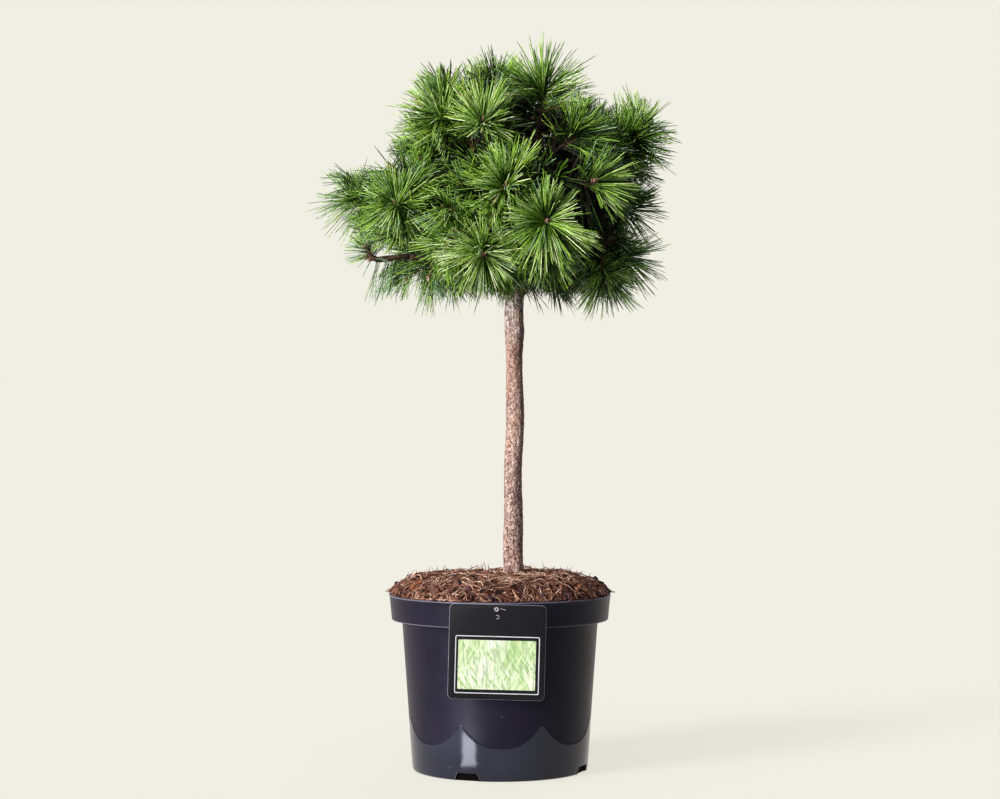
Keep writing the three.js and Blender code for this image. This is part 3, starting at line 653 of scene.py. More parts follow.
def grow(mass):
    V, Q, T, QM, TM = [], [], [], [], []
    n0 = 0
    tip, face, reach, spread = MASSES[mass]
    low = tip[2] < 650
    # painted light: the sprays the lamps light most get the lightest base tone
    tone_and_light = SPRAY_TONE_AND_LIGHT.get(mass, 4.5)                # the sprays that see most sun are the lightest
    for number, shoot in enumerate(shoots):
        if shoot["mass"] != mass:
            continue
        foot, mid, d1, d2, length, u = needles_on(shoot, number)
        rank = shoot["rank"]
        n = len(foot)
        if n == 0:
            continue
        # sprays inside the crown get darker tones: painted shade, with older needles there too
        out_ = np.linalg.norm((shoot["line"][-1] - np.array([0, 0, 725])) / np.array([185, 160, 165]))
        shade_inside = max(0.0, 1 - out_)
        if rank == 0:
            tone0 = tone_and_light + rng.uniform(-0.2, 0.6)
        elif rank == 1 and shoot.get("bright"):
            tone0 = tone_and_light + rng.uniform(-0.2, 0.4)
        elif rank == 1:
            tone0 = tone_and_light + rng.uniform(-1.9, 0.2) - 7 * shade_inside
        else:
            tone0 = 0.3
        # side shoots in the dark opening get near-black tones: painted shade
        if rank == 1 and not shoot.get("bright") and in_hollow(shoot["line"][-1][None])[0] > -0.7:
            tone0 = 0.4
        if mass in WEAK:
            tone0 = 4.7
        kind = rng.uniform(size=n)
        # how deep in the crown a needle lies, and how far its end reaches out at the top or on the right; both darken
        # its tone as painted shade
        half = foot + mid * (length * 0.6)[:, None]
        deep = np.clip((0.66 - np.linalg.norm((half - np.array([0, 0, 725])) / np.array([185, 160, 165]), axis=1)) / 0.34, 0, 1)
        deep = np.maximum(deep, 0.6 * np.clip(in_hollow(half) + 0.15, 0, 1) / 0.5).clip(0, 1)
        far = foot + mid * length[:, None]
        painted_tip_shade = np.maximum(np.clip((far[:, 2] - 856) / 26, 0, 1), 0.9 * np.clip((far[:, 0] - 172) / 22, 0, 1))
        for d in (d1, d2):
            sag = (0.05 if not low else 0.11) + 0.07 * rng.uniform(size=(n, 1))
            bend = np.array([0, 0, -1.0]) * sag + rng.normal(0, 0.065, (n, 3))
            L = length * rng.uniform(0.96, 1.03, n)
            # painted shade: the tone falls with depth in the crown, at the top and right tips, and a step in the
            # spray's middle; each needle's foot is a step darker and its end a step lighter, painted shade and light
            tone = tone0 + rng.choice([-3, -2, -1, 0, 0, 1, 1, 2], n) + 1.7 * vnoise(mid, 2.4, 500 + number) - 3.2 * deep - 1.7 * painted_tip_shade
            tone = np.floor(np.where(u < 0.4, tone - 1, tone) + rng.uniform(size=n)).astype(int)
            outer = np.clip(tone + 1, 0, LIGHTEST)
            inner = np.clip(tone - 1, 0, LIGHTEST)
            warm = WARM.get(mass, 0.05)
            outer = np.where((kind < warm) & (rank < 2), YELLOW, outer)
            blue = (kind > warm) & (kind < warm + TEAL.get(mass, 0.15 if low else 0.07)) & (rank < 2) & (deep < 0.5)
            outer = np.where(blue, BLUE_LIGHT, outer); inner = np.where(blue, BLUE, inner)
            dead = (kind > 0.985) & (u < 0.6)
            outer = np.where(dead, STRAW, outer); inner = np.where(dead, STRAW, inner)
            old_ = (kind > 0.55) & (kind < 0.55 + 0.40 * deep)
            outer = np.where(old_, OLD, outer); inner = np.where(old_, OLD, inner)
            v, q, t, qm, tm = prisms(foot, d, bend, L, rng.uniform(1.05, 1.45, n) * FINE.get(mass, 1.0), (inner, outer), fine=rank == 0 or (rank == 1 and tip[1] < 20))
            V.append(v); Q.append(q + n0); T.append(t + n0); QM.append(qm); TM.append(tm)
            n0 += len(v)
        if rank < 2:
            near = np.flatnonzero(u > (0.25 if rank == 0 else 0.6))
            v, q, t, qm, tm = prisms(foot[near] - mid[near] * 0.6, mid[near], mid[near] * 0, np.full(len(near), 4.5), np.full(len(near), 1.9), (np.full(len(near), SHEATH),), sheath=True)
            V.append(v); Q.append(q + n0); QM.append(qm)
            n0 += len(v)
    V, Q, T, QM, TM = (np.concatenate(x) for x in (V, Q, T, QM, TM))
    ob = new_mesh("needles_" + mass, V, Q, T, QM, TM)
    for m in needle_mats:
        ob.data.materials.append(m)
    piece(ob, "needles", "foliage_" + mass)
    return 2 * len(Q) + len(T)


print("needle triangles", sum(grow(mass) for mass in MASSES))

# --------------------------------------------------------------- bark stuff


def speck_layer(tree, vector, scale, width, seed, density):
    """Dark lens-shaped flecks: cells whose middle is close, kept where a random number allows."""
    mp = node(tree, "ShaderNodeMapping")
    mp.inputs["Scale"].default_value = (scale, scale, scale * 0.42)
    mp.inputs["Location"].default_value = (seed, seed * 0.7, seed * 0.3)
    tree.links.new(vector, mp.inputs[0])
    vor = node(tree, "ShaderNodeTexVoronoi", feature="F1")
    vor.inputs["Scale"].default_value = 1.0
    vor.inputs["Randomness"].default_value = 1.0
    tree.links.new(mp.outputs[0], vor.inputs["Vector"])
    spot = ramp(tree, vor.outputs["Distance"], [(width * 0.62, (1, 1, 1, 1)), (width, (0, 0, 0, 1))])
    sep = node(tree, "ShaderNodeSeparateColor")
    tree.links.new(vor.outputs["Color"], sep.inputs[0])
    lt = node(tree, "ShaderNodeMath", operation="LESS_THAN")
    tree.links.new(sep.outputs[0], lt.inputs[0])
    if hasattr(density, "is_linked"):
        tree.links.new(density, lt.inputs[1])
    else:
        lt.inputs[1].default_value = density
    mul = node(tree, "ShaderNodeMath", operation="MULTIPLY")
    tree.links.new(spot, mul.inputs[0]); tree.links.new(lt.outputs[0], mul.inputs[1])
    return mul.outputs[0]


def blend(tree, kind, factor, a_in, b_in):
    m = node(tree, "ShaderNodeMix", data_type="RGBA", blend_type=kind)
    for key, value in (("Factor", factor), ("A", a_in), ("B", b_in)):
        if hasattr(value, "is_linked"):
            tree.links.new(value, m.inputs[key])
        else:
            m.inputs[key].default_value = value
    return m.outputs["Result"]


def stem_bark():
    """Young pine bark: thin pale pink flakes with red-brown cracks, tan and smoother above."""
    m, tree, b = material("bark_stem", rough=0.85, specular=0.2)
    tc = node(tree, "ShaderNodeTexCoord")
    obj = tc.outputs["Object"]
    # everything is laid on a slightly warped grid, so that nothing looks stamped
    warp = node(tree, "ShaderNodeTexNoise"); warp.inputs["Scale"].default_value = 260; warp.inputs["Detail"].default_value = 3
    tree.links.new(obj, warp.inputs["Vector"])
    centre = node(tree, "ShaderNodeVectorMath", operation="SUBTRACT"); centre.inputs[1].default_value = (0.5, 0.5, 0.5)
    tree.links.new(warp.outputs["Color"], centre.inputs[0])
    small = node(tree, "ShaderNodeVectorMath", operation="SCALE"); small.inputs["Scale"].default_value = 0.006
    tree.links.new(centre.outputs[0], small.inputs[0])
    moved = node(tree, "ShaderNodeVectorMath", operation="ADD")
    tree.links.new(obj, moved.inputs[0]); tree.links.new(small.outputs[0], moved.inputs[1])
    at = moved.outputs[0]
    sep = node(tree, "ShaderNodeSeparateXYZ")
    tree.links.new(obj, sep.inputs[0])
    wob = node(tree, "ShaderNodeTexNoise"); wob.inputs["Scale"].default_value = 34; wob.inputs["Detail"].default_value = 3
    tree.links.new(obj, wob.inputs["Vector"])
    add = node(tree, "ShaderNodeMath", operation="MULTIPLY_ADD")
    tree.links.new(wob.outputs[0], add.inputs[0]); add.inputs[1].default_value = 0.05
    tree.links.new(sep.outputs[2], add.inputs[2])
    height = add.outputs[0]                                   # metres, ragged
    stretch = node(tree, "ShaderNodeMapping"); stretch.inputs["Scale"].default_value = (1, 1, 0.6)
    tree.links.new(at, stretch.inputs[0])
    grain = node(tree, "ShaderNodeTexNoise"); grain.inputs["Scale"].default_value = 420; grain.inputs["Detail"].default_value = 5; grain.inputs["Roughness"].default_value = 0.7
    tree.links.new(stretch.outputs[0], grain.inputs["Vector"])
    patch = node(tree, "ShaderNodeTexNoise"); patch.inputs["Scale"].default_value = 70; patch.inputs["Detail"].default_value = 3
    tree.links.new(stretch.outputs[0], patch.inputs["Vector"])
    low = ramp(tree, grain.outputs[0], [(0.36, srgb(86, 62, 58)), (0.45, srgb(140, 114, 106)), (0.55, srgb(186, 162, 152)), (0.66, srgb(228, 212, 204))])
    mid = ramp(tree, grain.outputs[0], [(0.34, srgb(94, 68, 62)), (0.46, srgb(146, 116, 105)), (0.58, srgb(188, 160, 148)), (0.70, srgb(220, 200, 190))])
    # the top zone is paler: partly its own grey-pink bark, partly painted light against the crown's shadow
    top = ramp(tree, grain.outputs[0], [(0.36, srgb(78, 58, 54)), (0.44, srgb(164, 142, 134)), (0.53, srgb(228, 214, 208)), (0.66, srgb(250, 244, 240))])
    to_mid = ramp(tree, height, [(0.44, (0, 0, 0, 1)), (0.53, (1, 1, 1, 1))])
    to_top = ramp(tree, height, [(0.562, (0, 0, 0, 1)), (0.592, (1, 1, 1, 1))])
    base = blend(tree, "MIX", to_mid, low, mid)
    base = blend(tree, "MIX", to_top, base, top)
    tint = ramp(tree, patch.outputs[0], [(0.34, srgb(222, 204, 204)), (0.50, (1, 1, 1, 1)), (0.66, srgb(252, 238, 224))])
    base = blend(tree, "MULTIPLY", 1.0, base, tint)
    # fine cracks between flakes, in two sizes; few where the bark is smooth
    few = ramp(tree, height, [(0.30, (1, 1, 1, 1)), (0.42, (0.85, 0.85, 0.85, 1)), (0.50, (0.55, 0.55, 0.55, 1)), (0.56, (0.55, 0.55, 0.55, 1)), (0.60, (1, 1, 1, 1))])
    cracks = []
    for scale_, wide, keep_at in ((250, 0.085, 0.50), (470, 0.10, 0.53)):
        vor = node(tree, "ShaderNodeTexVoronoi", feature="DISTANCE_TO_EDGE")
        vor.inputs["Scale"].default_value = scale_
        tree.links.new(stretch.outputs[0], vor.inputs["Vector"])
        line_ = ramp(tree, vor.outputs["Distance"], [(wide * 0.35, (1, 1, 1, 1)), (wide, (0, 0, 0, 1))])
        some = node(tree, "ShaderNodeTexNoise"); some.inputs["Scale"].default_value = scale_ * 0.55; some.inputs["Detail"].default_value = 2
        tree.links.new(at, some.inputs["Vector"])
        gate = ramp(tree, some.outputs[0], [(keep_at - 0.03, (0, 0, 0, 1)), (keep_at + 0.05, (1, 1, 1, 1))])
        mul = node(tree, "ShaderNodeMath", operation="MULTIPLY")
        tree.links.new(line_, mul.inputs[0]); tree.links.new(gate, mul.inputs[1])
        cracks.append(mul.outputs[0])
    spots = speck_layer(tree, at, 400, 0.40, 5.1, 0.30)
    both = node(tree, "ShaderNodeMath", operation="MAXIMUM"); tree.links.new(cracks[0], both.inputs[0]); tree.links.new(cracks[1], both.inputs[1])
    three = node(tree, "ShaderNodeMath", operation="MAXIMUM"); tree.links.new(both.outputs[0], three.inputs[0]); tree.links.new(spots, three.inputs[1])
    some_ = node(tree, "ShaderNodeMath", operation="MULTIPLY"); tree.links.new(three.outputs[0], some_.inputs[0]); tree.links.new(few, some_.inputs[1])
    soft = node(tree, "ShaderNodeMath", operation="MULTIPLY"); soft.inputs[1].default_value = 0.88
    tree.links.new(some_.outputs[0], soft.inputs[0])
    base = blend(tree, "MIX", soft.outputs[0], base, srgb(66, 40, 36))
    # darker in the low parts of the relief
    hollow = node(tree, "ShaderNodeAttribute"); hollow.attribute_name = "relief"
    low_relief_dark = ramp(tree, hollow.outputs["Fac"], [(0.10, srgb(130, 98, 92)), (0.50, (1, 1, 1, 1))])
    base = blend(tree, "MULTIPLY", 0.85, base, low_relief_dark)
    tree.links.new(base, b.inputs["Base Color"])
    high = node(tree, "ShaderNodeMath", operation="SUBTRACT")
    tree.links.new(grain.outputs[0], high.inputs[0]); tree.links.new(soft.outputs[0], high.inputs[1])
    bump = node(tree, "ShaderNodeBump"); bump.inputs["Strength"].default_value = 0.6; bump.inputs["Distance"].default_value = 0.0006
    tree.links.new(high.outputs[0], bump.inputs["Height"]); tree.links.new(bump.outputs[0], b.inputs["Normal"])
    return m


def bough_bark():
    """Bough bark: brown, ridged with the old leaf scales, paler on the ridges."""
    m, tree, b = material("bark_bough", rough=0.85, specular=0.25)
    tc = node(tree, "ShaderNodeTexCoord")
    n1 = node(tree, "ShaderNodeTexNoise"); n1.inputs["Scale"].default_value = 320; n1.inputs["Detail"].default_value = 5; n1.inputs["Roughness"].default_value = 0.65
    tree.links.new(tc.outputs["Object"], n1.inputs["Vector"])
    wood = ramp(tree, n1.outputs[0], [(0.30, srgb(46, 34, 26)), (0.48, srgb(84, 64, 50)), (0.62, srgb(116, 92, 74)), (0.74, srgb(150, 124, 102))])
    ridge = node(tree, "ShaderNodeAttribute"); ridge.attribute_name = "relief"
    shade = ramp(tree, ridge.outputs["Fac"], [(0.15, srgb(70, 50, 42)), (0.55, (1, 1, 1, 1))])
    # painted shade: the wood is darker in the crown's open front and near the stem
    dim = node(tree, "ShaderNodeAttribute"); dim.attribute_name = "dim"
    painted_wood_shade = ramp(tree, dim.outputs["Fac"], [(0.0, (1, 1, 1, 1)), (1.0, srgb(122, 116, 116))])
    tree.links.new(blend(tree, "MULTIPLY", 1.0, blend(tree, "MULTIPLY", 1.0, wood, shade), painted_wood_shade), b.inputs["Base Color"])
    bump = node(tree, "ShaderNodeBump"); bump.inputs["Strength"].default_value = 0.6; bump.inputs["Distance"].default_value = 0.0006
    tree.links.new(n1.outputs[0], bump.inputs["Height"]); tree.links.new(bump.outputs[0], b.inputs["Normal"])
    return m


def paint_wood_shade(ob):
    """Painted shade on the wood: darker in the open front of the crown and near the stem."""
    co = np.empty(len(ob.data.vertices) * 3)
    ob.data.vertices.foreach_get("co", co)
    at = co.reshape(-1, 3) / MM
    near = 1 - np.linalg.norm((at - np.array([30, -20, 740])) / np.array([110, 110, 120]), axis=1)
    attribute(ob, "dim", np.clip(np.maximum(in_hollow(at) + 0.5, near * 1.6), 0, 1))


bark = stem_bark()
bark_twig = bough_bark()


def flaky(p, seed=0, size=1.0):
    """Relief of thin upright flakes: height in mm about nought, and a 0..1 value low in the hollows."""
    q = p * np.array([1.0, 1.0, 0.58])
    warp = np.stack([fbm(q, 0.2 / size, seed + 40 + k, 3) for k in range(3)], 1) * 2.6 * size
    d1, d2, ident = cells(q + warp, 0.27 / size, seed + 3)
    edge = smooth(0.0, 0.26, d2 - d1)
    step = ident - 0.5
    ridged = 1 - np.abs(fbm(q, 0.22 / size, seed + 5, 4)) * 2
    height = size * (0.40 * step * edge + 0.26 * (edge - 0.8) + 0.30 * (ridged - 0.55) + 0.20 * fbm(q, 1.1 / size, seed + 8, 2))
    relief = np.clip(0.35 * edge + 0.45 * np.clip(ridged, 0, 1) + 0.35 * (step + 0.5), 0, 1)
    return height, relief


def scaly(p, along, ring_angle, size=1.0):
    """Relief of a bough: short spiral scales left by shed needles."""
    phase = ring_angle * 5 / (2 * np.pi) + along / (3.4 * size)
    phase2 = -ring_angle * 3 / (2 * np.pi) + along / (3.4 * size)
    a = np.abs((phase % 1) - 0.5) * 2
    b2 = np.abs((phase2 % 1) - 0.5) * 2
    scale_ = np.minimum(a, b2)
    n = fbm(p, 0.45, 12, 3)
    return size * (0.55 * (scale_ - 0.35) + 0.45 * n), np.clip(0.25 + scale_ * 0.9 + 0.25 * n, 0, 1)


# ------------------------------------------------------------------- trunk
def hermite(x, xs, ys):
    """Shape-keeping cubic through the table."""
    h = np.diff(xs); d = np.diff(ys) / h
    m = np.zeros(len(xs)); m[0], m[-1] = d[0], d[-1]
    for k in range(1, len(xs) - 1):
        m[k] = 0 if d[k - 1] * d[k] <= 0 else 2 * d[k - 1] * d[k] / (d[k - 1] + d[k])
    k = np.clip(np.searchsorted(xs, x) - 1, 0, len(h) - 1)
    t = (x - xs[k]) / h[k]
    return ((1 + 2 * t) * (1 - t) ** 2 * ys[k] + t * (1 - t) ** 2 * h[k] * m[k]
            + t * t * (3 - 2 * t) * ys[k + 1] + t * t * (t - 1) * h[k] * m[k + 1])


zs = np.arange(241, 652.2, 1.5)
path = np.stack([hermite(zs, STEM[:, 0], STEM[:, 1]), hermite(zs, STEM[:, 0], STEM[:, 2]), zs], 1)
rad = hermite(zs, STEM[:, 0], STEM[:, 3]) + 0.75 * smooth(241, 300, zs)
SIDES = 96
v, q, ring = tube(path, rad, SIDES)
height, relief = flaky(v, 1)
ang = np.arctan2(ring[:, 1], ring[:, 0])
zz = np.repeat(zs, SIDES)
swell = 0.30 * np.sin(2 * ang + zz * 0.02) + 0.22 * np.sin(3 * ang - zz * 0.035) + 0.45 * vnoise(v, 0.035, 5)
graft = 0.8 * np.exp(-((zz - 553) / 7.0) ** 2) * (0.5 + 0.5 * np.cos(ang - 0.4)) + 0.5 * np.exp(-((zz - 575) / 10.0) ** 2) * np.cos(2 * ang)
flute = smooth(272, 243, zz) * 0.9 * np.sin(5 * ang + 0.6)
fade = smooth(652, 640, zz) * 0.8 + 0.2
v = v + ring * (height * fade + swell + flute + graft)[:, None]
n = len(v)
cap_low = np.array([[path[0, 0], path[0, 1], 241.0]]); cap_top = np.array([[path[-1, 0], path[-1, 1], 653.5]])
v[:SIDES, 2] = 241.0
v = np.vstack([v, cap_low, cap_top])
i = np.arange(SIDES); j = (i + 1) % SIDES
tris = np.concatenate([np.stack([j, i, np.full(SIDES, n)], 1), np.stack([n - SIDES + i, n - SIDES + j, np.full(SIDES, n + 1)], 1)])
trunk = new_mesh("trunk_bark", v, q, tris)
attribute(trunk, "relief", np.concatenate([relief, [0.6, 0.6]]))
trunk.data.materials.append(bark)
piece(trunk, "bark", "trunk")

# ------------------------------------------------------------------- limbs
class Heap:
    """Collects parts of one joined piece."""

    def __init__(self):
        self.v, self.q, self.t, self.qm, self.tm, self.r, self.n = [], [], [], [], [], [], 0

    def add(self, v, q, t=None, qm=None, tm=None, relief=None):
        self.v.append(v); self.q.append(q + self.n)
        if t is not None:
            self.t.append(t + self.n)
            self.tm.append(np.zeros(len(t), int) if tm is None else tm)
        self.qm.append(np.zeros(len(q), int) if qm is None else qm)
        if relief is not None:
            self.r.append(relief)
        self.n += len(v)

    def build(self, name, **kw):
        t = np.concatenate(self.t) if self.t else None
        tm = np.concatenate(self.tm) if self.t else None
        ob = new_mesh(name, np.concatenate(self.v), np.concatenate(self.q), t, np.concatenate(self.qm), tm, **kw)
        if self.r:
            attribute(ob, "relief", np.concatenate(self.r))
        return ob


def closed(v, q, ends, sides, relief=None):
    """Adds a middle point and a fan at each end of a tube."""
    m = len(v)
    v = np.vstack([v, ends[0][None], ends[1][None]])
    i = np.arange(sides); j = (i + 1) % sides
    t = np.concatenate([np.stack([j, i, np.full(sides, m)], 1), np.stack([m - sides + i, m - sides + j, np.full(sides, m + 1)], 1)])
    return v, q, t, (None if relief is None else np.concatenate([relief, [0.6, 0.6]]))


heap = Heap()
for name, parent, at, mass, (r0, r1), lift, out in LIMBS:
    curve = full[name]
    length = curve.len[-1]
    steps = max(12, int(length / 2.8))
    f = np.linspace(0, 1, steps)
    pts = curve.along(f)
    rr = r0 + (r1 * (1.0 if mass in WEAK else 0.80) - r0) * f ** 0.8 + r0 * 0.22 * np.exp(-f * length / 14)
    sides = 18
    v, q, ring = tube(pts, rr, sides)
    along = np.repeat(f * length, sides)
    turn = np.tile(np.arange(sides) * 2 * np.pi / sides, steps)
    h, rel = scaly(v, along, turn, 1.15)
    knot = 0.9 * np.maximum(0, vnoise(v, 0.09, 21) - 0.25)
    v = v + ring * ((h + knot) * np.repeat(np.clip(rr / 7, 0.45, 1), sides))[:, None]
    v, q, t, rel = closed(v, q, (pts[0], pts[-1] + (pts[-1] - pts[-2])), sides, rel)
    heap.add(v, q, t, relief=rel)
    # short snags where side shoots were lost
    for k in range(2):
        fs = rng.uniform(0.35, 0.8)
        foot = curve.along(fs)[0]
        tang = curve.tangent(fs)
        out_ = unit(np.cross(tang, rng.normal(size=3)) + tang * 0.6)
        radius = r0 + (r1 - r0) * fs ** 0.8
        line = foot + out_ * np.linspace(0, radius + rng.uniform(3, 6), 6)[:, None]
        v, q, ring = tube(line, np.array([1.0, 0.95, 0.85, 0.8, 0.78, 0.6]) * radius * 0.42, 10)
        v = v + ring * (0.25 * vnoise(v, 0.7, 6))[:, None]
        v, q, t, rel = closed(v, q, (line[0], line[-1] + out_ * 0.3), 10, np.full(len(v), 0.45))
        heap.add(v, q, t, relief=rel)
limbs = heap.build("boughs_bark")
limbs.data.materials.append(bark_twig)
paint_wood_shade(limbs)
piece(limbs, "bark", *[row[0] for row in LIMBS])

# ----------------------------------------------------- twigs and bud clusters
heap = Heap()
for s in shoots:
    if s["tube"] is None:
        continue
    line = s["tube"]
    fine = np.linspace(0, 1, 13)
    seg = np.linspace(0, 1, len(line))
    pts = np.stack([np.interp(fine, seg, line[:, c]) for c in range(3)], 1)
    rr = s["r"][0] + (s["r"][1] - s["r"][0]) * fine ** 0.8
    sides = 8
    v, q, ring = tube(pts, rr, sides)
    along = np.repeat(fine * np.linalg.norm(np.diff(line, axis=0), axis=1).sum(), sides)
    turn = np.tile(np.arange(sides) * 2 * np.pi / sides, len(fine))
    h, rel = scaly(v, along, turn, 0.7)
    v = v + ring * h[:, None]
    if s["mass"] in WEAK:
        v = v + ring * (1.1 * vnoise(v, 0.16, 27))[:, None]
        rel = rel * 0.45
    v, q, t, rel = closed(v, q, (pts[0], pts[-1] + (pts[-1] - pts[-2]) * 0.3), sides, rel)
    heap.add(v, q, t, relief=rel)
twigs = heap.build("twigs")
twigs.data.materials.append(bark_twig)
paint_wood_shade(twigs)
piece(twigs, "bark")

BUD = [srgb(134, 96, 76), srgb(170, 132, 110), srgb(96, 62, 48), srgb(196, 168, 148)]
bud_mats = [material(f"bud_scale_{k}", rough=0.6, color=c)[0] for k, c in enumerate(BUD)]
heap = Heap()
for s in shoots:
    if s["tube"] is None:
        continue
    tip = s["tube"][-1]
    d0 = unit(s["tube"][-1] - s["tube"][-2])
    side = unit(np.cross(d0, rng.normal(size=3)))
    up = np.cross(d0, side)
    round_ = 5 if s["rank"] == 0 else 2
    for b in range(round_ + 1):
        big = 1.0 if s["rank"] == 0 else 0.8
        length = rng.uniform(8.0, 11.0) * big * (1.0 if b == 0 else 0.58)
        radius = length * (0.20 if b == 0 else 0.23)
        a = b * 2 * math.pi / round_ + 0.3
        d = d0 if b == 0 else unit(d0 + 0.75 * (side * math.cos(a) + up * math.sin(a)))
        base = tip - d0 * 1.0 + (d - d0) * 1.8
        f = np.array([0, 0.18, 0.4, 0.62, 0.84, 1.0])
        prof = radius * np.array([0.55, 1.0, 1.05, 0.84, 0.46, 0.05])
        sides = 6
        wobble = 1 + 0.14 * ((np.arange(sides)[None] + np.arange(6)[:, None]) % 2)
        v, q, ring = tube(base + d * (f * length)[:, None], prof[:, None] * wobble, sides)
        heap.add(v, q, None, qm=rng.choice(4, len(q), p=[0.38, 0.27, 0.22, 0.13]))
buds = heap.build("buds")
for m in bud_mats:
    buds.data.materials.append(m)
piece(buds, "bark")

# --------------------------------------------------------------------- pot
POT = dict(rim_z=221, rim_r=140, foot_z=189, foot_r=136.6, neck_r=124, waist_z=51, waist_r=114.3, base_r=110.6, wall=2.4)
LOBES = 7


def lathe(profile, sides, closed=False):
    a = np.arange(sides) * 2 * np.pi / sides - np.pi / 2
    prof = np.array(profile, float)
    n = len(prof)
    ring = np.stack([np.cos(a), np.sin(a)], 1)
    v = np.zeros((n, sides, 3))
    v[:, :, 0] = prof[:, 0][:, None] * ring[:, 0]
    v[:, :, 1] = prof[:, 0][:, None] * ring[:, 1]
    v[:, :, 2] = prof[:, 1][:, None]
    idx = np.arange(n * sides).reshape(n, sides)
    nxt = np.roll(idx, -1, 1)
    quads = np.stack([idx[:-1], nxt[:-1], nxt[1:], idx[1:]], -1).reshape(-1, 4)
    if closed:
        quads = np.concatenate([quads, np.stack([idx[-1], nxt[-1], nxt[0], idx[0]], -1)])
    return v.reshape(-1, 3), quads, idx


def arc(cx, cz, r, a0, a1, n):
    return [(cx + r * math.cos(t), cz + r * math.sin(t)) for t in np.radians(np.linspace(a0, a1, n))]


def wall_r(z):
    return np.interp(z, [0, 51, 187], [POT["base_r"], POT["waist_r"], POT["neck_r"]])


foot = [(0.01, 0.0), (60, 0.0), (104, 0.0)] + arc(POT["base_r"] - 3.2, 3.2, 3.2, -90, -3, 6)
LOW, STEPS, HIGH = 18, 6, 40                    # rows under, on and over the edge of the panels
wall = [(0.0, 0.0)] * (LOW + STEPS + HIGH)      # filled in below
top_ = [(123.95, 187.6), (124.35, 188.6)]
top_ += [(126.5, 189.0), (133.4, 189.0)] + arc(135.3, 190.4, 1.4, -90, -6, 5)
top_ += [(r_, z_) for r_, z_ in zip(np.linspace(136.9, 139.2, 10), np.linspace(193, 217, 10))]
top_ += arc(138.5, 219.5, 1.5, -10, 90, 6) + arc(138.3, 219.8, 1.2, 90, 180, 4)
inner = [(137.1, 217), (134.4, 192.6), (133.6, 191.6), (121.9, 191.4), (121.6, 190), (112.0, 51), (108.3, 5), (106.5, 2.6), (60, 2.4), (0.01, 2.4)]
prof = foot + wall + top_ + inner
PS = 224
v, q, idx = lathe(prof, PS)
v = v.reshape(len(prof), PS, 3)
# moulded panels: shallow recesses of the upper wall, each with a rounded foot
turn_ = np.arange(PS) * 360 / PS - 1.0                     # degrees, 0 at the front
phase = ((turn_ + 180 / LOBES) % (360 / LOBES)) / (360 / LOBES) * 2 - 1
edge = 41 + 29 * np.abs(phase) ** 2.5
rows_z = []
for k in range(LOW):
    rows_z.append((5 + (edge - 1.0 - 5) * k / (LOW - 1), 0.0))
for k in range(STEPS):
    t_ = (k + 1) / STEPS
    rows_z.append((edge - 1.0 + 1.8 * t_, 0.5 * float(smooth(0, 1, t_))))
for k in range(HIGH):
    t_ = (k + 1) / HIGH
    rows_z.append((edge + 0.8 + (187 - edge - 0.8) * t_, 0.5 * float(smooth(1.0, 0.97, t_))))
around = np.radians(np.arange(PS) * 360 / PS - 90)
for k, (z_, deep) in enumerate(rows_z):
    r_ = wall_r(z_) - deep
    v[len(foot) + k, :, 0] = r_ * np.cos(around)
    v[len(foot) + k, :, 1] = r_ * np.sin(around)
    v[len(foot) + k, :, 2] = z_
row_of = np.repeat(np.arange(len(prof) - 1), PS)
lip = len(foot) + LOW + STEPS + HIGH + 3
skirt_rows = row_of < len(foot) + LOW + 1
crest = lip + 1 + 5 + 10                                   # first row of the round on top of the rim
lip_highlight_rows = ((row_of >= lip) & (row_of < lip + 5)) | ((row_of >= crest) & (row_of < crest + 6))           # pale bands on the rim's two rounds: painted highlight
def pot_material(name, dark, light, rough, specular):
    m, tree, b = material(name, rough=rough, specular=specular)
    b.inputs["Specular Tint"].default_value = (0.86, 0.87, 1.0, 1.0)
    tc = node(tree, "ShaderNodeTexCoord")
    n1 = node(tree, "ShaderNodeTexNoise"); n1.inputs["Scale"].default_value = 14; n1.inputs["Detail"].default_value = 8; n1.inputs["Roughness"].default_value = 0.6
    n2 = node(tree, "ShaderNodeTexNoise"); n2.inputs["Scale"].default_value = 1100; n2.inputs["Detail"].default_value = 2
    n3 = node(tree, "ShaderNodeTexVoronoi"); n3.inputs["Scale"].default_value = 46
    for n_ in (n1, n2, n3):
        tree.links.new(tc.outputs["Object"], n_.inputs["Vector"])
    base = ramp(tree, n1.outputs[0], [(0.35, dark), (0.65, light)])
    # a few specks of dust
    speck = ramp(tree, n3.outputs["Distance"], [(0.030, (1, 1, 1, 1)), (0.045, (0, 0, 0, 1))])
    dust = node(tree, "ShaderNodeMath", operation="MULTIPLY"); dust.inputs[1].default_value = 0.45
    tree.links.new(speck, dust.inputs[0])
    tree.links.new(blend(tree, "MIX", dust.outputs[0], base, srgb(120, 112, 116)), b.inputs["Base Color"])
    worn = node(tree, "ShaderNodeMapRange")
    worn.inputs["From Min"].default_value = 0.3; worn.inputs["From Max"].default_value = 0.7
    worn.inputs["To Min"].default_value = rough - 0.03; worn.inputs["To Max"].default_value = rough + 0.05
    tree.links.new(n1.outputs[0], worn.inputs["Value"])
    tree.links.new(worn.outputs[0], b.inputs["Roughness"])
    bump = node(tree, "ShaderNodeBump"); bump.inputs["Strength"].default_value = 0.12; bump.inputs["Distance"].default_value = 0.0003
    tree.links.new(n2.outputs[0], bump.inputs["Height"]); tree.links.new(bump.outputs[0], b.inputs["Normal"])
    return m


pot = new_mesh("pot_shell", v.reshape(-1, 3), q, None, np.where(lip_highlight_rows, 2, np.where(skirt_rows, 1, 0)))
me = pot.data
pot.data.materials.append(pot_material("pot_matt", srgb(16, 14, 25), srgb(23, 20, 34), 0.38, 0.14))
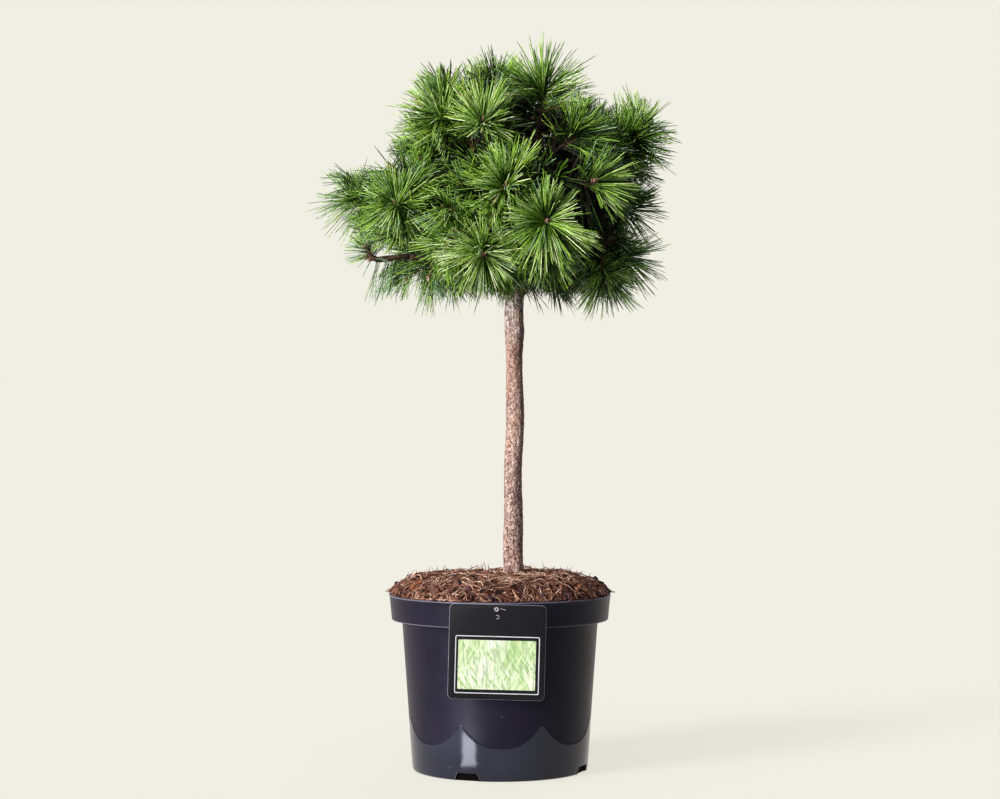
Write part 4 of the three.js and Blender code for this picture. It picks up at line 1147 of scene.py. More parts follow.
# the skirt's base is lighter than the panels: partly its own finish, partly painted reflection of the pale floor
pot.data.materials.append(pot_material("pot_gloss", srgb(26, 26, 37), srgb(34, 34, 46), 0.12, 0.34))
# pale rim material: painted highlight on the rim's rounds and on the lines by the openings
pot.data.materials.append(pot_material("pot_painted_highlight", srgb(70, 68, 80), srgb(96, 94, 106), 0.35, 0.3))
# close the two little rings at the axis
import bmesh
bm = bmesh.new(); bm.from_mesh(me)
bmesh.ops.holes_fill(bm, edges=[e for e in bm.edges if e.is_boundary], sides=0)
bmesh.ops.recalc_face_normals(bm, faces=bm.faces)
bm.to_mesh(me); bm.free()


def cutter(name, verts, faces):
    m2 = bpy.data.meshes.new(name)
    m2.from_pydata([Vector(p) * MM for p in verts], [], faces)
    o2 = bpy.data.objects.new(name, m2)
    bpy.context.scene.collection.objects.link(o2)
    return o2


def cut(target, tool):
    mod = target.modifiers.new("cut", "BOOLEAN")
    mod.operation = "DIFFERENCE"; mod.solver = "EXACT"; mod.object = tool
    bpy.context.view_layer.objects.active = target
    dg = bpy.context.evaluated_depsgraph_get()
    done = bpy.data.meshes.new_from_object(target.evaluated_get(dg))
    target.modifiers.clear()
    old = target.data
    target.data = done
    done.name = old.name + "_cut"
    bpy.data.meshes.remove(old)
    bpy.data.objects.remove(tool)


W = 15.4
for i in range(4):
    a = math.radians(-111.3 + i * 90)
    ca, sa = math.cos(a), math.sin(a)
    pts = []
    for r in (105.2, 118):
        for x, z in ((-W - 2.4, -1), (W + 2.4, -1), (W - 2.6, 9.0), (W - 3.8, 9.8), (-W + 3.8, 9.8), (-W + 2.6, 9.0)):
            pts.append((ca * r - sa * x, sa * r + ca * x, z))
    faces = [tuple(range(5, -1, -1)), tuple(range(6, 12))] + [(k, (k + 1) % 6, 6 + (k + 1) % 6, 6 + k) for k in range(6)]
    cut(pot, cutter("notch", pts, faces))
# near-black faces of the base inside the openings: painted shade
shade_, shade_tree, shade_b = material("pot_opening_painted_shade", rough=0.9, color=srgb(7, 6, 9), specular=0.05)
pot.data.materials.append(shade_)
for face_ in pot.data.polygons:
    c_ = face_.center / MM
    if math.hypot(c_.x, c_.y) < 106.9 and 0.03 < c_.z < 2.39 and abs(face_.normal.z) < 0.5:
        face_.material_index = 3
# thin moulded lines beside the openings, pale with painted highlight
heap = Heap()
for i in range(4):
    a = math.radians(-111.3 + i * 90)
    ca, sa = math.cos(a), math.sin(a)
    for sign in (-1, 1):
        z_ = np.linspace(0.6, 10.2, 8)
        x_ = sign * (W + 2.6 - 0.5 * z_)
        r_ = np.sqrt((wall_r(z_) + 0.05) ** 2 - x_ ** 2)
        v, q, ring = tube(np.stack([ca * r_ - sa * x_, sa * r_ + ca * x_, z_], 1), np.full(8, 0.34), 6)
        v, q, t, rel = closed(v, q, (v[:6].mean(0), v[-6:].mean(0)), 6)
        heap.add(v, q, t)
edges_ = heap.build("drain_edges")
edges_.data.materials.append(pot.data.materials[2])
piece(edges_, "pot_plastic")


pot.data.polygons.foreach_set("use_smooth", np.ones(len(pot.data.polygons), bool))
pot.data.set_sharp_from_angle(angle=math.radians(30))
piece(pot, "pot_plastic", "pot")

# --------------------------------------------------------- growing medium


def mix_top(r):
    return 221.8 + 22.9 * np.sqrt(1 - np.minimum(1, r / 137.8) ** 3.5)


def lumps(p):
    near_stem = smooth(10, 34, np.hypot(p[:, 0] - 16.8, p[:, 1]))
    return (3.6 * fbm(p, 0.035, 3, 2) + 4.6 * fbm(p, 0.10, 9, 2) + 3.0 * np.abs(fbm(p, 0.26, 14, 2)) - 3.0) * near_stem - 1.6 * (1 - near_stem)


radii = np.concatenate([[0.01], np.linspace(2, 135.2, 80), [136.0, 136.6, 136.9]])
profile = [(r, mix_top(r)) for r in radii] + [(137.0, 221.9), (136.9, 221.4), (136.7, 220.6), (136.5, 217), (132.4, 193.5), (120.4, 192), (111.0, 51), (107.0, 3.2), (0.01, 3.2)]
v, q, idx = lathe(profile[::-1], 192)
rr = np.hypot(v[:, 0], v[:, 1])
top = (v[:, 2] > 221.5)
v[:, 2] += np.where(top, lumps(v) * smooth(137.5, 126, rr) + 0.9 * fbm(v, 0.7, 4, 2) * smooth(137.5, 134, rr), 0)
# the medium stops short of the drain openings
mix = new_mesh("mix_bed", v, q)
bm = bmesh.new(); bm.from_mesh(mix.data)
bmesh.ops.holes_fill(bm, edges=[e for e in bm.edges if e.is_boundary], sides=0)
bmesh.ops.recalc_face_normals(bm, faces=bm.faces)
bm.to_mesh(mix.data); bm.free()
m, tree, b = material("mix_bed", rough=0.95, specular=0.1)
tc = node(tree, "ShaderNodeTexCoord")
n1 = node(tree, "ShaderNodeTexNoise"); n1.inputs["Scale"].default_value = 230; n1.inputs["Detail"].default_value = 6; n1.inputs["Roughness"].default_value = 0.7
tree.links.new(tc.outputs["Object"], n1.inputs["Vector"])
earth = ramp(tree, n1.outputs[0], [(0.36, srgb(10, 4, 3)), (0.50, srgb(34, 18, 12)), (0.62, srgb(68, 40, 28)), (0.76, srgb(108, 72, 54))])
sep = node(tree, "ShaderNodeSeparateXYZ"); tree.links.new(tc.outputs["Object"], sep.inputs[0])
# near-black towards the bottom: painted shade of the medium seen through the openings
painted_shade_low = ramp(tree, sep.outputs[2], [(0.03, (0.03, 0.03, 0.03, 1)), (0.12, (1, 1, 1, 1))])
tree.links.new(blend(tree, "MULTIPLY", 1.0, earth, painted_shade_low), b.inputs["Base Color"])
bump = node(tree, "ShaderNodeBump"); bump.inputs["Strength"].default_value = 0.9; bump.inputs["Distance"].default_value = 0.0018
tree.links.new(n1.outputs[0], bump.inputs["Height"]); tree.links.new(bump.outputs[0], b.inputs["Normal"])
mix.data.materials.append(m)
piece(mix, "growing_mix", "growing_medium")

# coarse fibres in locks, chips and crumbs on top
FIBRES = [srgb(66, 37, 29), srgb(96, 60, 47), srgb(128, 87, 70), srgb(160, 121, 101), srgb(190, 154, 132),
          srgb(27, 14, 12), srgb(138, 82, 58), srgb(96, 92, 46), srgb(72, 50, 62), srgb(212, 184, 160)]
fibre_mats = [material(f"fibre_{k}", rough=0.85, color=c, specular=0.15)[0] for k, c in enumerate(FIBRES)]


def surface(x, y):
    r = np.hypot(x, y)
    p = np.stack([x, y, mix_top(np.minimum(r, 139))], 1)
    return p[:, 2] + lumps(p) * smooth(137.5, 126, r)


def strands(x, y, head, curl, length, width, lift, thick, tone, stand=0.0, arch=(-0.5, 2.2), reach=139.5):
    """Curved three-sided strands that follow the top of the medium."""
    away = np.hypot(x - 16.8, y)
    keep = away > 13.5
    x, y, head, curl, tone = x[keep], y[keep], head[keep], curl[keep], tone[keep]
    n = len(x)
    L = rng.uniform(*length, n); w = rng.uniform(*width, n); hgt = rng.uniform(*lift, n)
    tilt = np.abs(rng.normal(0, stand, n)) if stand else np.zeros(n)
    segs = 5
    pts = np.zeros((n, segs, 3))
    px, py = x.copy(), y.copy()
    hd = head - curl * 0.5
    for k in range(segs):
        pts[:, k, 0], pts[:, k, 1] = px, py
        px = px + np.cos(hd) * L / (segs - 1) * np.cos(tilt); py = py + np.sin(hd) * L / (segs - 1) * np.cos(tilt)
        hd = hd + curl / (segs - 1)
    rad = np.hypot(pts[:, :, 0], pts[:, :, 1])
    lim = np.minimum(1, reach / np.maximum(rad, 1e-6))
    pts[:, :, 0] *= lim; pts[:, :, 1] *= lim
    flat = pts.reshape(-1, 3)
    flat[:, 2] = surface(flat[:, 0], flat[:, 1])
    pts = flat.reshape(n, segs, 3)
    t = np.linspace(0, 1, segs)
    low_edge = 0.3 + 0.7 * smooth(138, 112, np.hypot(pts[:, :, 0], pts[:, :, 1]))       # they lie flatter towards the rim
    pts[:, :, 2] += low_edge * (hgt[:, None] + np.sin(np.pi * t)[None] * rng.uniform(*arch, n)[:, None] + (np.sin(tilt) * L)[:, None] * t[None])
    dirs = unit(np.gradient(pts, axis=1))
    side = unit(np.cross(dirs, np.array([0, 0, 1.0])[None, None] + rng.normal(0, 0.5, (n, 1, 3))))
    up = np.cross(side, dirs)
    shape = np.array([0.35, 0.9, 1.0, 0.8, 0.15])
    ring = []
    for a_ in (0.5, 2.594, 4.689):
        ring.append(pts + side * (math.cos(a_) * w[:, None] * 0.55 * shape)[:, :, None] + up * (math.sin(a_) * w[:, None] * 0.55 * thick * shape)[:, :, None])
    verts = np.stack(ring, 2)
    idx = np.arange(n * segs * 3).reshape(n, segs, 3)
    nx = np.roll(idx, -1, 2)
    quads = np.stack([idx[:, :-1], nx[:, :-1], nx[:, 1:], idx[:, 1:]], -1)
    caps = np.concatenate([idx[:, 0, ::-1], idx[:, -1]])
    return verts.reshape(-1, 3), quads.reshape(-1, 4), caps, np.repeat(tone, (segs - 1) * 3), np.concatenate([tone, tone])


def strewn(count, rmax):
    r = rmax * np.sqrt(rng.uniform(0.0, 1, count)); th = rng.uniform(0, 2 * np.pi, count)
    return r * np.cos(th), r * np.sin(th)


class Strewn(Heap):
    def strands(self, x, y, head, curl, tone, **kw):
        v, q, t, qm, tm = strands(x, y, head, curl, tone=tone, **kw)
        self.add(v, q, t, qm, tm)


heap = Strewn()


def scattered(count, rmax, palette, weights, **kw):
    x, y = strewn(count, rmax)
    heap.strands(x, y, rng.uniform(0, 2 * np.pi, len(x)), rng.normal(0, 1.5, len(x)), rng.choice(palette, len(x), p=weights), **kw)


scattered(2100, 136, [0, 1, 2, 5, 8], [0.26, 0.26, 0.16, 0.20, 0.12], length=(7, 26), width=(0.6, 1.7), lift=(0.0, 2.4), thick=0.7)
scattered(300, 132, [0, 1, 2, 8, 6], [0.26, 0.23, 0.15, 0.22, 0.14], length=(7, 18), width=(2.6, 6.8), lift=(0.4, 3.4), thick=0.45)
scattered(260, 136, [0, 1, 2, 5], [0.3, 0.3, 0.2, 0.2], length=(6, 15), width=(0.5, 0.9), lift=(0.5, 2.0), thick=0.9, stand=0.6)
scattered(60, 130, [7, 3], [0.7, 0.3], length=(8, 24), width=(0.8, 1.5), lift=(1.5, 3.4), thick=0.7)
# the steep border down to the rim
for count, spec in ((1500, dict(length=(7, 24), width=(0.6, 1.7), lift=(-1.6, 2.6), thick=0.9)), (260, dict(length=(6, 15), width=(2.6, 6.2), lift=(-0.4, 2.8), thick=0.5))):
    th = rng.uniform(0, 2 * np.pi, count)
    r_ = 137.6 * (1 - rng.uniform(0.0, 0.75, count) ** 2) ** (1 / 3.5)
    along_ = th + np.pi / 2 + rng.normal(0, 1.2, count) + np.pi * rng.integers(0, 2, count)
    heap.strands(r_ * np.cos(th), r_ * np.sin(th), along_, rng.normal(0, 1.2, count), rng.choice([0, 1, 2, 3, 5, 8], count, p=[0.23, 0.25, 0.20, 0.10, 0.13, 0.09]), reach=137.9, **spec)
# ends that stick out over the rim
count = 90
th = rng.uniform(0, 2 * np.pi, count)
th = np.where(rng.uniform(size=count) < 0.45, rng.normal(0, 0.3, count) + np.pi * rng.integers(0, 2, count), th)
heap.strands(134 * np.cos(th), 134 * np.sin(th), th + rng.normal(0, 0.5, count), rng.normal(0, 0.4, count), rng.choice([0, 1, 2, 3], count),
             length=(6, 14), width=(0.8, 2.2), lift=(4.0, 9.0), thick=0.6, arch=(0.0, 4.0), reach=146.5)
# ends that stand up all over, and coarse pale strands
scattered(210, 135, [0, 1, 2, 5, 3], [0.3, 0.25, 0.2, 0.15, 0.1], length=(8, 19), width=(0.5, 0.95), lift=(0.8, 2.5), thick=0.9, stand=0.75)
scattered(75, 130, [2, 3, 4, 9], [0.2, 0.36, 0.3, 0.14], length=(18, 40), width=(1.3, 2.1), lift=(2.2, 5.0), thick=0.7, arch=(0.0, 5.0))
count = 330
th = rng.uniform(0, 2 * np.pi, count)
r_ = rng.uniform(130, 136.8, count)
heap.strands(r_ * np.cos(th), r_ * np.sin(th), th + np.pi / 2 + rng.normal(0, 0.7, count), rng.normal(0, 1.4, count), rng.choice([0, 1, 2, 3, 4, 8], count, p=[0.18, 0.22, 0.24, 0.18, 0.08, 0.10]),
             length=(4, 13), width=(0.6, 1.5), lift=(0.4, 2.6), thick=0.8, reach=138.2)
count = 260
th = rng.uniform(0, 2 * np.pi, count)
r_ = rng.uniform(108, 134, count)
heap.strands(r_ * np.cos(th), r_ * np.sin(th), th + rng.choice([0.5, 1.1, 1.9, 2.6], count) + rng.normal(0, 0.3, count), rng.normal(0, 1.0, count), rng.choice([1, 2, 3, 4, 9], count, p=[0.2, 0.3, 0.28, 0.16, 0.06]),
             length=(14, 32), width=(0.8, 1.6), lift=(1.4, 4.2), thick=0.7, arch=(0.0, 4.0), reach=138.6)
# locks of long fibres that lie together
for k in range(135):
    cx, cy = strewn(1, 134)
    count = int(rng.integers(7, 20))
    heading = rng.uniform(0, 2 * np.pi)
    shade = int(rng.choice([1, 2, 3, 2, 1, 4]))
    spread_ = rng.uniform(2.0, 5.5)
    x = cx + rng.normal(0, spread_, count); y = cy + rng.normal(0, spread_, count)
    tone = np.clip(shade + rng.choice([-1, 0, 0, 1], count), 0, 4)
    tone = np.where(rng.uniform(size=count) < 0.08, 9, tone)
    heap.strands(x, y, heading + rng.normal(0, 0.25, count), rng.normal(0, 0.9) + rng.normal(0, 0.4, count), tone,
                 length=(18, 54), width=(0.6, 1.3), lift=(1.0, 4.2), thick=0.8, arch=(-0.5, 3.5))
# a reddish flake of bark near the rim, on the left
flake = np.arange(9)
heap.strands(-112 + rng.normal(0, 3.0, 9), -62 + rng.normal(0, 3.0, 9), 0.5 + rng.normal(0, 0.2, 9), rng.normal(0, 0.2, 9), np.full(9, 6),
             length=(14, 22), width=(3.0, 6.0), lift=(2.5, 5.0), thick=0.4)
# crumbs: small broken lumps
ico_v = unit(np.array([(0, 1, 1.618), (0, -1, 1.618), (0, 1, -1.618), (0, -1, -1.618), (1, 1.618, 0), (-1, 1.618, 0), (1, -1.618, 0), (-1, -1.618, 0), (1.618, 0, 1), (-1.618, 0, 1), (1.618, 0, -1), (-1.618, 0, -1)], float))
ico_f = np.array([(0, 1, 8), (0, 9, 1), (0, 4, 5), (0, 5, 9), (0, 8, 4), (1, 6, 8), (1, 7, 6), (1, 9, 7), (2, 3, 11), (2, 10, 3), (2, 4, 10), (2, 5, 4), (2, 11, 5), (3, 6, 7), (3, 10, 6), (3, 7, 11), (4, 8, 10), (5, 11, 9), (6, 10, 8), (7, 9, 11)])
fibres = heap.build("mix_fibres", shade=False)
heap = Strewn()
x, y = strewn(1000, 133)
th = rng.uniform(0, 2 * np.pi, 120)
r_ = rng.uniform(131.5, 136.8, 120)
x, y = np.concatenate([x, r_ * np.cos(th)]), np.concatenate([y, r_ * np.sin(th)])
keep = np.hypot(x - 16.8, y) > 13
x, y = x[keep], y[keep]
n = len(x)
size_ = rng.uniform(1.2, 3.6, n) * np.where(rng.uniform(size=n) < 0.15, 1.6, 1.0) * np.where(np.hypot(x, y) > 132, 0.55, 1.0)
shape = ico_v[None] * (1 + rng.normal(0, 0.24, (n, 12, 1))) * size_[:, None, None] * rng.uniform(0.5, 1.0, (n, 1, 3))
shape[:, :, 2] += surface(x, y)[:, None] + size_[:, None] * 0.4 + rng.uniform(0, 1.5, n)[:, None]
shape[:, :, 0] += x[:, None]; shape[:, :, 1] += y[:, None]
faces = (ico_f[None] + 12 * np.arange(n)[:, None, None]).reshape(-1, 3)
tone = np.repeat(rng.choice([0, 1, 5, 8, 2, 6], n, p=[0.3, 0.24, 0.24, 0.13, 0.08, 0.01]), 20)
heap.add(shape.reshape(-1, 3), np.zeros((0, 4), int), faces, np.zeros(0, int), tone)
crumbs = heap.build("mix_crumbs", shade=False)
for ob_ in (fibres, crumbs):
    for m in fibre_mats:
        ob_.data.materials.append(m)
    piece(ob_, "growing_mix")

# ------------------------------------------------------------------- label


def rounded(w, h, r, n=8):
    pts = []
    for cx, cz, a0 in ((w / 2 - r, h / 2 - r, 0), (-w / 2 + r, h / 2 - r, 90), (-w / 2 + r, -h / 2 + r, 180), (w / 2 - r, -h / 2 + r, 270)):
        for t in np.radians(np.linspace(a0, a0 + 90, n)):
            pts.append((cx + r * math.cos(t), cz + r * math.sin(t)))
    return pts


LABEL = dict(x=-3.6, y=-141.2, w=117, h=115, t=1.0, top=219.3, turn=1.5)
tilt = math.radians(LABEL["turn"])
lab_c = (LABEL["x"], LABEL["y"], LABEL["top"] - LABEL["h"] / 2)


def on_label(x, z, y):
    """Card plane to space; y is how far it stands out of the card's middle, towards the viewer."""
    return (lab_c[0] + x * math.cos(tilt) + z * math.sin(tilt), lab_c[1] - y, lab_c[2] - x * math.sin(tilt) + z * math.cos(tilt))


def plate(name, outline, y0, y1, bevel=0.0, hole=None):
    """A flat piece of the given outline between two depths, its front edge rounded."""
    bm = bmesh.new()
    front = [bm.verts.new(Vector(on_label(x, z, y1)) * MM) for x, z in outline]
    face = bm.faces.new(front)
    if hole:
        pass
    ext = bmesh.ops.extrude_face_region(bm, geom=[face])
    moved = [g for g in ext["geom"] if isinstance(g, bmesh.types.BMVert)]
    for vv in moved:
        vv.co += Vector((0, (y1 - y0) * MM, 0))
    bmesh.ops.recalc_face_normals(bm, faces=bm.faces)
    if bevel:
        edges = [e for e in bm.edges if len(e.link_faces) == 2 and abs(e.link_faces[0].normal.dot(e.link_faces[1].normal)) < 0.3]
        bmesh.ops.bevel(bm, geom=edges, offset=bevel * MM, segments=2, affect="EDGES", profile=0.5)
    m2 = bpy.data.meshes.new(name)
    bm.to_mesh(m2); bm.free()
    o2 = bpy.data.objects.new(name, m2)
    bpy.context.scene.collection.objects.link(o2)
    return o2


card = plate("label_card", rounded(LABEL["w"], LABEL["h"], 6), -0.5, 0.5, bevel=0.42)
a = np.radians(np.arange(0, 360, 20))
tool = [(-4.0 + 1.85 * math.cos(t), LABEL["y"] + s, 213.4 + 1.85 * math.sin(t)) for s in (-4, 4) for t in a]
na = len(a)
cut(card, cutter("pin_hole", tool, [tuple(range(na)), tuple(range(2 * na - 1, na - 1, -1))] + [(k, na + k, na + (k + 1) % na, (k + 1) % na) for k in range(na)]))
m, tree, b = material("label_card", rough=0.42, specular=0.18)
tc = node(tree, "ShaderNodeTexCoord")
n1 = node(tree, "ShaderNodeTexNoise"); n1.inputs["Scale"].default_value = 22; n1.inputs["Detail"].default_value = 4
tree.links.new(tc.outputs["Object"], n1.inputs["Vector"])
tree.links.new(ramp(tree, n1.outputs[0], [(0.3, srgb(11, 10, 15)), (0.7, srgb(17, 16, 21))]), b.inputs["Base Color"])
card.data.materials.clear()
card.data.materials.append(m)
# the card's edge and bevel are pale: painted highlight along the edge
m, tree, b = material("label_edge_painted_highlight", rough=0.5, specular=0.4)
tc = node(tree, "ShaderNodeTexCoord")
n1 = node(tree, "ShaderNodeTexNoise"); n1.inputs["Scale"].default_value = 90; n1.inputs["Detail"].default_value = 3
tree.links.new(tc.outputs["Object"], n1.inputs["Vector"])
tree.links.new(ramp(tree, n1.outputs[0], [(0.3, srgb(96, 94, 106)), (0.7, srgb(124, 122, 134))]), b.inputs["Base Color"])
card.data.materials.append(m)
for p_ in card.data.polygons:
    p_.material_index = 0 if abs(p_.normal.y) > 0.97 else 1
card.data.set_sharp_from_angle(angle=math.radians(50))
piece(card, "label_card", "plant_label")

# frame line and picture panel (generic blades in pale greens)
FR = (0.4, -15.5, 101.8, 69.6)


def ring_strip(name, w, h, r, width, cx, cz, y0, y1):
    outer_o = [(x + cx, z + cz) for x, z in rounded(w, h, r)]
    inner_o = [(x + cx, z + cz) for x, z in rounded(w - 2 * width, h - 2 * width, max(0.3, r - width))]
    n = len(outer_o)
    v = [on_label(x, z, y1) for x, z in outer_o] + [on_label(x, z, y1) for x, z in inner_o] + [on_label(x, z, y0) for x, z in outer_o] + [on_label(x, z, y0) for x, z in inner_o]
    q = []
    for k in range(n):
        j = (k + 1) % n
        q += [(k, j, n + j, n + k), (2 * n + k, 3 * n + k, 3 * n + j, 2 * n + j), (k, 2 * n + k, 2 * n + j, j), (n + k, n + j, 3 * n + j, 3 * n + k)]
    ob = new_mesh(name, v, q, None, shade=False)
    bm = bmesh.new(); bm.from_mesh(ob.data)
    bmesh.ops.recalc_face_normals(bm, faces=bm.faces)
    bm.to_mesh(ob.data); bm.free()
    return ob


line = ring_strip("label_frame", FR[2], FR[3], 2.0, 1.0, FR[0], FR[1], 0.45, 0.62)
m, tree, b = material("label_line", rough=0.4)
tc = node(tree, "ShaderNodeTexCoord")
n1 = node(tree, "ShaderNodeTexNoise"); n1.inputs["Scale"].default_value = 60
tree.links.new(tc.outputs["Object"], n1.inputs["Vector"])
tree.links.new(ramp(tree, n1.outputs[0], [(0.3, srgb(176, 178, 184)), (0.7, srgb(206, 208, 212))]), b.inputs["Base Color"])
line.data.materials.append(m)
piece(line, "label_card")

panel = plate("label_picture", [(x + FR[0] - 0.4, z + FR[1]) for x, z in rounded(93.6, 59.6, 0.8, 3)], 0.45, 0.6)
m, tree, b = material("label_picture", rough=0.38)
tc = node(tree, "ShaderNodeTexCoord")
coat = []
for angle_, sx, sz, seed_ in ((0.6, 330, 34, 0.0), (-0.5, 260, 30, 3.1), (0.1, 420, 46, 7.7)):
    turn_ = node(tree, "ShaderNodeMapping"); turn_.inputs["Rotation"].default_value = (0, angle_, 0); turn_.inputs["Location"].default_value = (seed_, 0, seed_)
    mp = node(tree, "ShaderNodeMapping"); mp.inputs["Scale"].default_value = (sx, 1, sz)
    tree.links.new(tc.outputs["Object"], turn_.inputs[0]); tree.links.new(turn_.outputs[0], mp.inputs[0])
    blades = node(tree, "ShaderNodeTexNoise"); blades.inputs["Scale"].default_value = 1.0; blades.inputs["Detail"].default_value = 2; blades.inputs["Distortion"].default_value = 0.3
    tree.links.new(mp.outputs[0], blades.inputs["Vector"])
    coat.append(ramp(tree, blades.outputs[0], [(0.40, (1, 1, 1, 1)), (0.50, (0, 0, 0, 1))]))
wide_ = node(tree, "ShaderNodeTexNoise"); wide_.inputs["Scale"].default_value = 46; wide_.inputs["Detail"].default_value = 2
tree.links.new(tc.outputs["Object"], wide_.inputs["Vector"])
under_ = ramp(tree, wide_.outputs[0], [(0.36, srgb(166, 190, 134)), (0.50, srgb(186, 201, 158)), (0.62, srgb(209, 214, 196)), (0.72, srgb(216, 217, 213))])
tone_a = blend(tree, "MIX", coat[0], under_, srgb(142, 176, 112))
tone_b = blend(tree, "MIX", coat[1], tone_a, srgb(197, 209, 174))
thin_ = node(tree, "ShaderNodeMath", operation="MULTIPLY"); thin_.inputs[1].default_value = 0.55
tree.links.new(coat[2], thin_.inputs[0])
tone_c = blend(tree, "MIX", thin_.outputs[0], tone_b, srgb(112, 140, 92))
spot_ = node(tree, "ShaderNodeTexNoise"); spot_.inputs["Scale"].default_value = 70; spot_.inputs["Detail"].default_value = 3
place_ = node(tree, "ShaderNodeMapping"); place_.inputs["Location"].default_value = (4.2, 1.0, 2.6)
tree.links.new(tc.outputs["Object"], place_.inputs[0]); tree.links.new(place_.outputs[0], spot_.inputs["Vector"])
warm_ = ramp(tree, spot_.outputs[0], [(0.66, (0, 0, 0, 1)), (0.72, (0.7, 0.7, 0.7, 1))])
tree.links.new(blend(tree, "MIX", warm_, tone_c, srgb(190, 158, 104)), b.inputs["Base Color"])
panel.data.materials.append(m)
piece(panel, "label_card")

# the pin: a small eyelet with its closed middle near-black as painted shade of its hole, its thread, and the half-cut
# slit below
head = [(0.01, 0.55), (0.9, 0.6), (1.25, 1.0), (1.55, 1.75), (1.95, 2.0), (2.35, 1.8), (2.6, 1.1), (2.65, 0.35), (2.5, 0.05), (1.5, 0.0), (1.5, -4.2), (1.1, -4.9), (0.01, -4.9)]
v, q, idx = lathe(head, 28)
row_ = np.repeat(np.arange(len(head) - 1), 28)
v = np.stack([v[:, 0] - 4.0, -v[:, 2] + LABEL["y"] - 0.5, v[:, 1] + 213.4], 1)
pin = new_mesh("label_pin_head", v, q, None, np.where(row_ < 2, 1, 0))
bm = bmesh.new(); bm.from_mesh(pin.data)
bmesh.ops.holes_fill(bm, edges=[e for e in bm.edges if e.is_boundary], sides=0)
bmesh.ops.recalc_face_normals(bm, faces=bm.faces)
bm.to_mesh(pin.data); bm.free()


def grey(name, dark, light):
    m, tree, b = material(name, rough=0.35)
    tc = node(tree, "ShaderNodeTexCoord")
    n1 = node(tree, "ShaderNodeTexNoise"); n1.inputs["Scale"].default_value = 300
    tree.links.new(tc.outputs["Object"], n1.inputs["Vector"])
    tree.links.new(ramp(tree, n1.outputs[0], [(0.3, dark), (0.7, light)]), b.inputs["Base Color"])
    return m


pale_plastic = grey("label_pin_pale", srgb(150, 148, 152), srgb(178, 176, 180))
pin.data.materials.append(pale_plastic)
pin.data.materials.append(grey("label_pin_dark", srgb(22, 21, 25), srgb(30, 29, 33)))
piece(pin, "label_pin", "label_pin")
heap = Heap()


def thread(points, radius):
    line = np.array([on_label(x, z, y) for x, z, y in points])
    v, q, ring = tube(line, np.full(len(line), radius), 8)
    v, q, t, _ = closed(v, q, (line[0], line[-1]), 8)
    heap.add(v, q, t)


pz = 213.4 - lab_c[2]
thread([(x, pz + 0.6 * math.sin((x + 3) / 3.2), 0.78) for x in np.linspace(2.0, 9.2, 14)], 0.26)
thread([(x, pz + 0.9 - 0.10 * (x + 3.2) ** 2, 0.78) for x in np.linspace(-5.2, -2.6, 8)], 0.26)
thread([(-0.7 + 2.0 * math.sin(a_), pz - 9.3 + 2.2 * math.cos(a_), 0.62) for a_ in np.radians(np.linspace(-60, 215, 24))], 0.30)
loop = heap.build("label_thread")
loop.data.materials.append(pale_plastic)
piece(loop, "label_pin")

# ------------------------------------------------------------ stage, lights
scene = bpy.context.scene
CREAM = srgb(241, 238, 227)

# a studio: dim room, a bright backdrop on the far side, the paper itself for the camera
world = bpy.data.worlds.new("studio")
scene.world = world
world.use_nodes = True
wt = world.node_tree
paper = wt.nodes["Background"]
paper.inputs[0].default_value = CREAM
paper.inputs[1].default_value = 1.0
where = wt.nodes.new("ShaderNodeTexCoord")
split_ = wt.nodes.new("ShaderNodeSeparateXYZ")
wt.links.new(where.outputs["Generated"], split_.inputs[0])
far = wt.nodes.new("ShaderNodeMapRange"); far.interpolation_type = "SMOOTHSTEP"
far.inputs["From Min"].default_value = 0.72; far.inputs["From Max"].default_value = 0.80
far.inputs["To Min"].default_value = 0.0; far.inputs["To Max"].default_value = 1.0
wt.links.new(split_.outputs[1], far.inputs["Value"])
above = wt.nodes.new("ShaderNodeMapRange"); above.interpolation_type = "SMOOTHSTEP"
above.inputs["From Min"].default_value = -0.2; above.inputs["From Max"].default_value = 1.0
above.inputs["To Min"].default_value = 0.12; above.inputs["To Max"].default_value = 0.50
wt.links.new(split_.outputs[2], above.inputs["Value"])
most = wt.nodes.new("ShaderNodeMath"); most.operation = "MAXIMUM"
wt.links.new(far.outputs[0], most.inputs[0]); wt.links.new(above.outputs[0], most.inputs[1])
room = wt.nodes.new("ShaderNodeBackground")
room.inputs[0].default_value = (0.93, 0.92, 1.0, 1)
wt.links.new(most.outputs[0], room.inputs[1])
lp = wt.nodes.new("ShaderNodeLightPath")
mx = wt.nodes.new("ShaderNodeMixShader")
wt.links.new(lp.outputs["Is Camera Ray"], mx.inputs[0])
wt.links.new(room.outputs[0], mx.inputs[1])
wt.links.new(paper.outputs[0], mx.inputs[2])
wt.links.new(mx.outputs[0], wt.nodes["World Output"].inputs[0])

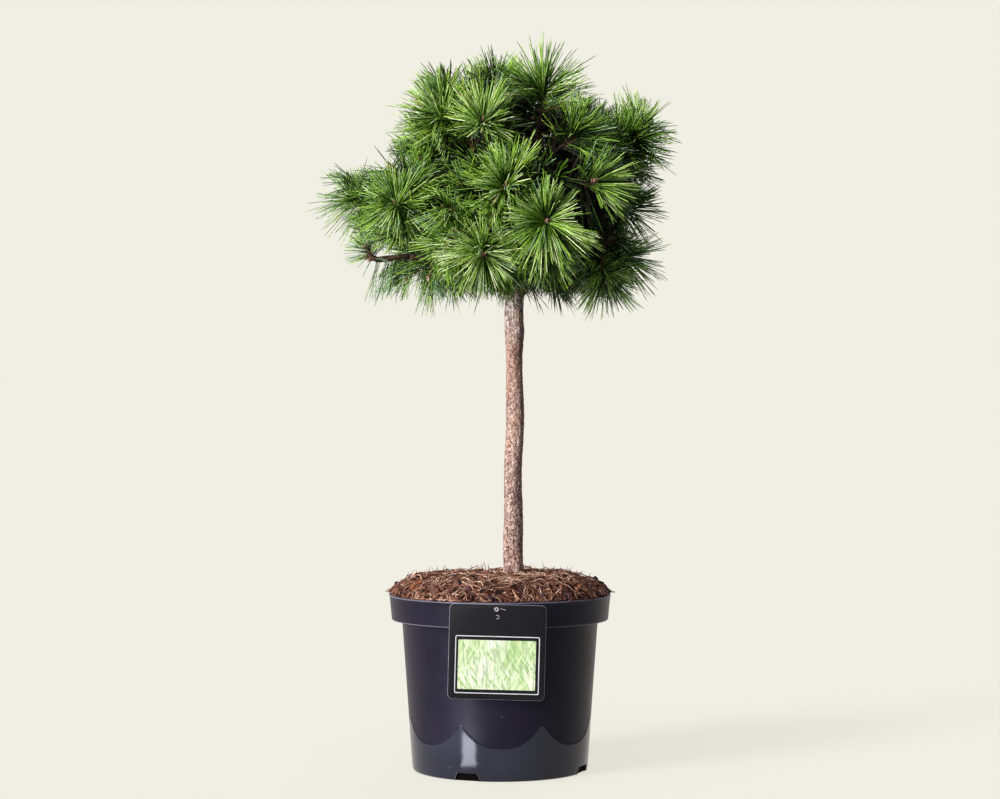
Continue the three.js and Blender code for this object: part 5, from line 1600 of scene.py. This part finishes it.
bpy.ops.mesh.primitive_circle_add(vertices=96, radius=40, fill_type="NGON", location=(0, 0, -0.0004))
floor = bpy.context.object
floor.name = "floor"
m, tree, b = material("floor", rough=1.0, specular=0.0)
b.inputs["Base Color"].default_value = [c * FLOOR_ALBEDO for c in CREAM[:3]] + [1.0]
b.inputs["Emission Color"].default_value = CREAM
b.inputs["Emission Strength"].default_value = FLOOR_GLOW
floor.data.materials.append(m)
floor.visible_diffuse = False


def sun(name, azimuth, elevation, strength, angle, color=(1, 1, 1)):
    d = bpy.data.lights.new(name, "SUN")
    d.energy = strength; d.angle = math.radians(angle); d.color = color
    o = bpy.data.objects.new(name, d)
    az, el = math.radians(azimuth), math.radians(elevation)
    to = Vector((math.sin(az) * math.cos(el), -math.cos(az) * math.cos(el), math.sin(el)))
    o.rotation_euler = to.to_track_quat("Z", "Y").to_euler()
    o.location = to * 3
    bpy.context.scene.collection.objects.link(o)
    return o


def area(name, loc, target, size, power, color=(1, 1, 1)):
    d = bpy.data.lights.new(name, "AREA")
    d.shape = "RECTANGLE"; d.size, d.size_y = size
    d.energy = power; d.color = color
    o = bpy.data.objects.new(name, d)
    o.location = loc
    o.rotation_euler = (Vector(target) - Vector(loc)).to_track_quat("-Z", "Y").to_euler()
    o.visible_camera = False
    bpy.context.scene.collection.objects.link(o)
    return o


sun("key", -50, 18, KEY, 18, (1.0, 0.985, 0.955))
sun("above", -25, 64, 1.1, 40, (0.98, 0.99, 1.0))
sun("rim", 160, 35, 0.5, 30, (0.95, 0.97, 1.0))
sun("front", -46, 2, 3.0, 18, (1.0, 0.99, 0.98))
# a row of three flat lamps on the floor, wider further out, shows as one upright bar in the foot of the pot
only = bpy.data.collections.new("gleam_on_pot")
only.objects.link(pot)
for k in range(3):
    t = (k + 0.5) / 3
    x, y, wide = -0.074 - 0.101 * t, -0.146 - 0.126 * t, 0.033 + 0.050 * t
    gleam = area(f"gleam_{k}", (x, y, 0.003), (x, y, 1.0), (wide, 0.0545), 46 * wide * 0.0545 * (0.85 + 0.35 * t))
    gleam.rotation_euler = (math.pi, 0, math.radians(-38.5))
    gleam.light_linking.receiver_collection = only

scene.view_settings.view_transform = "Standard"
scene.view_settings.look = "None"
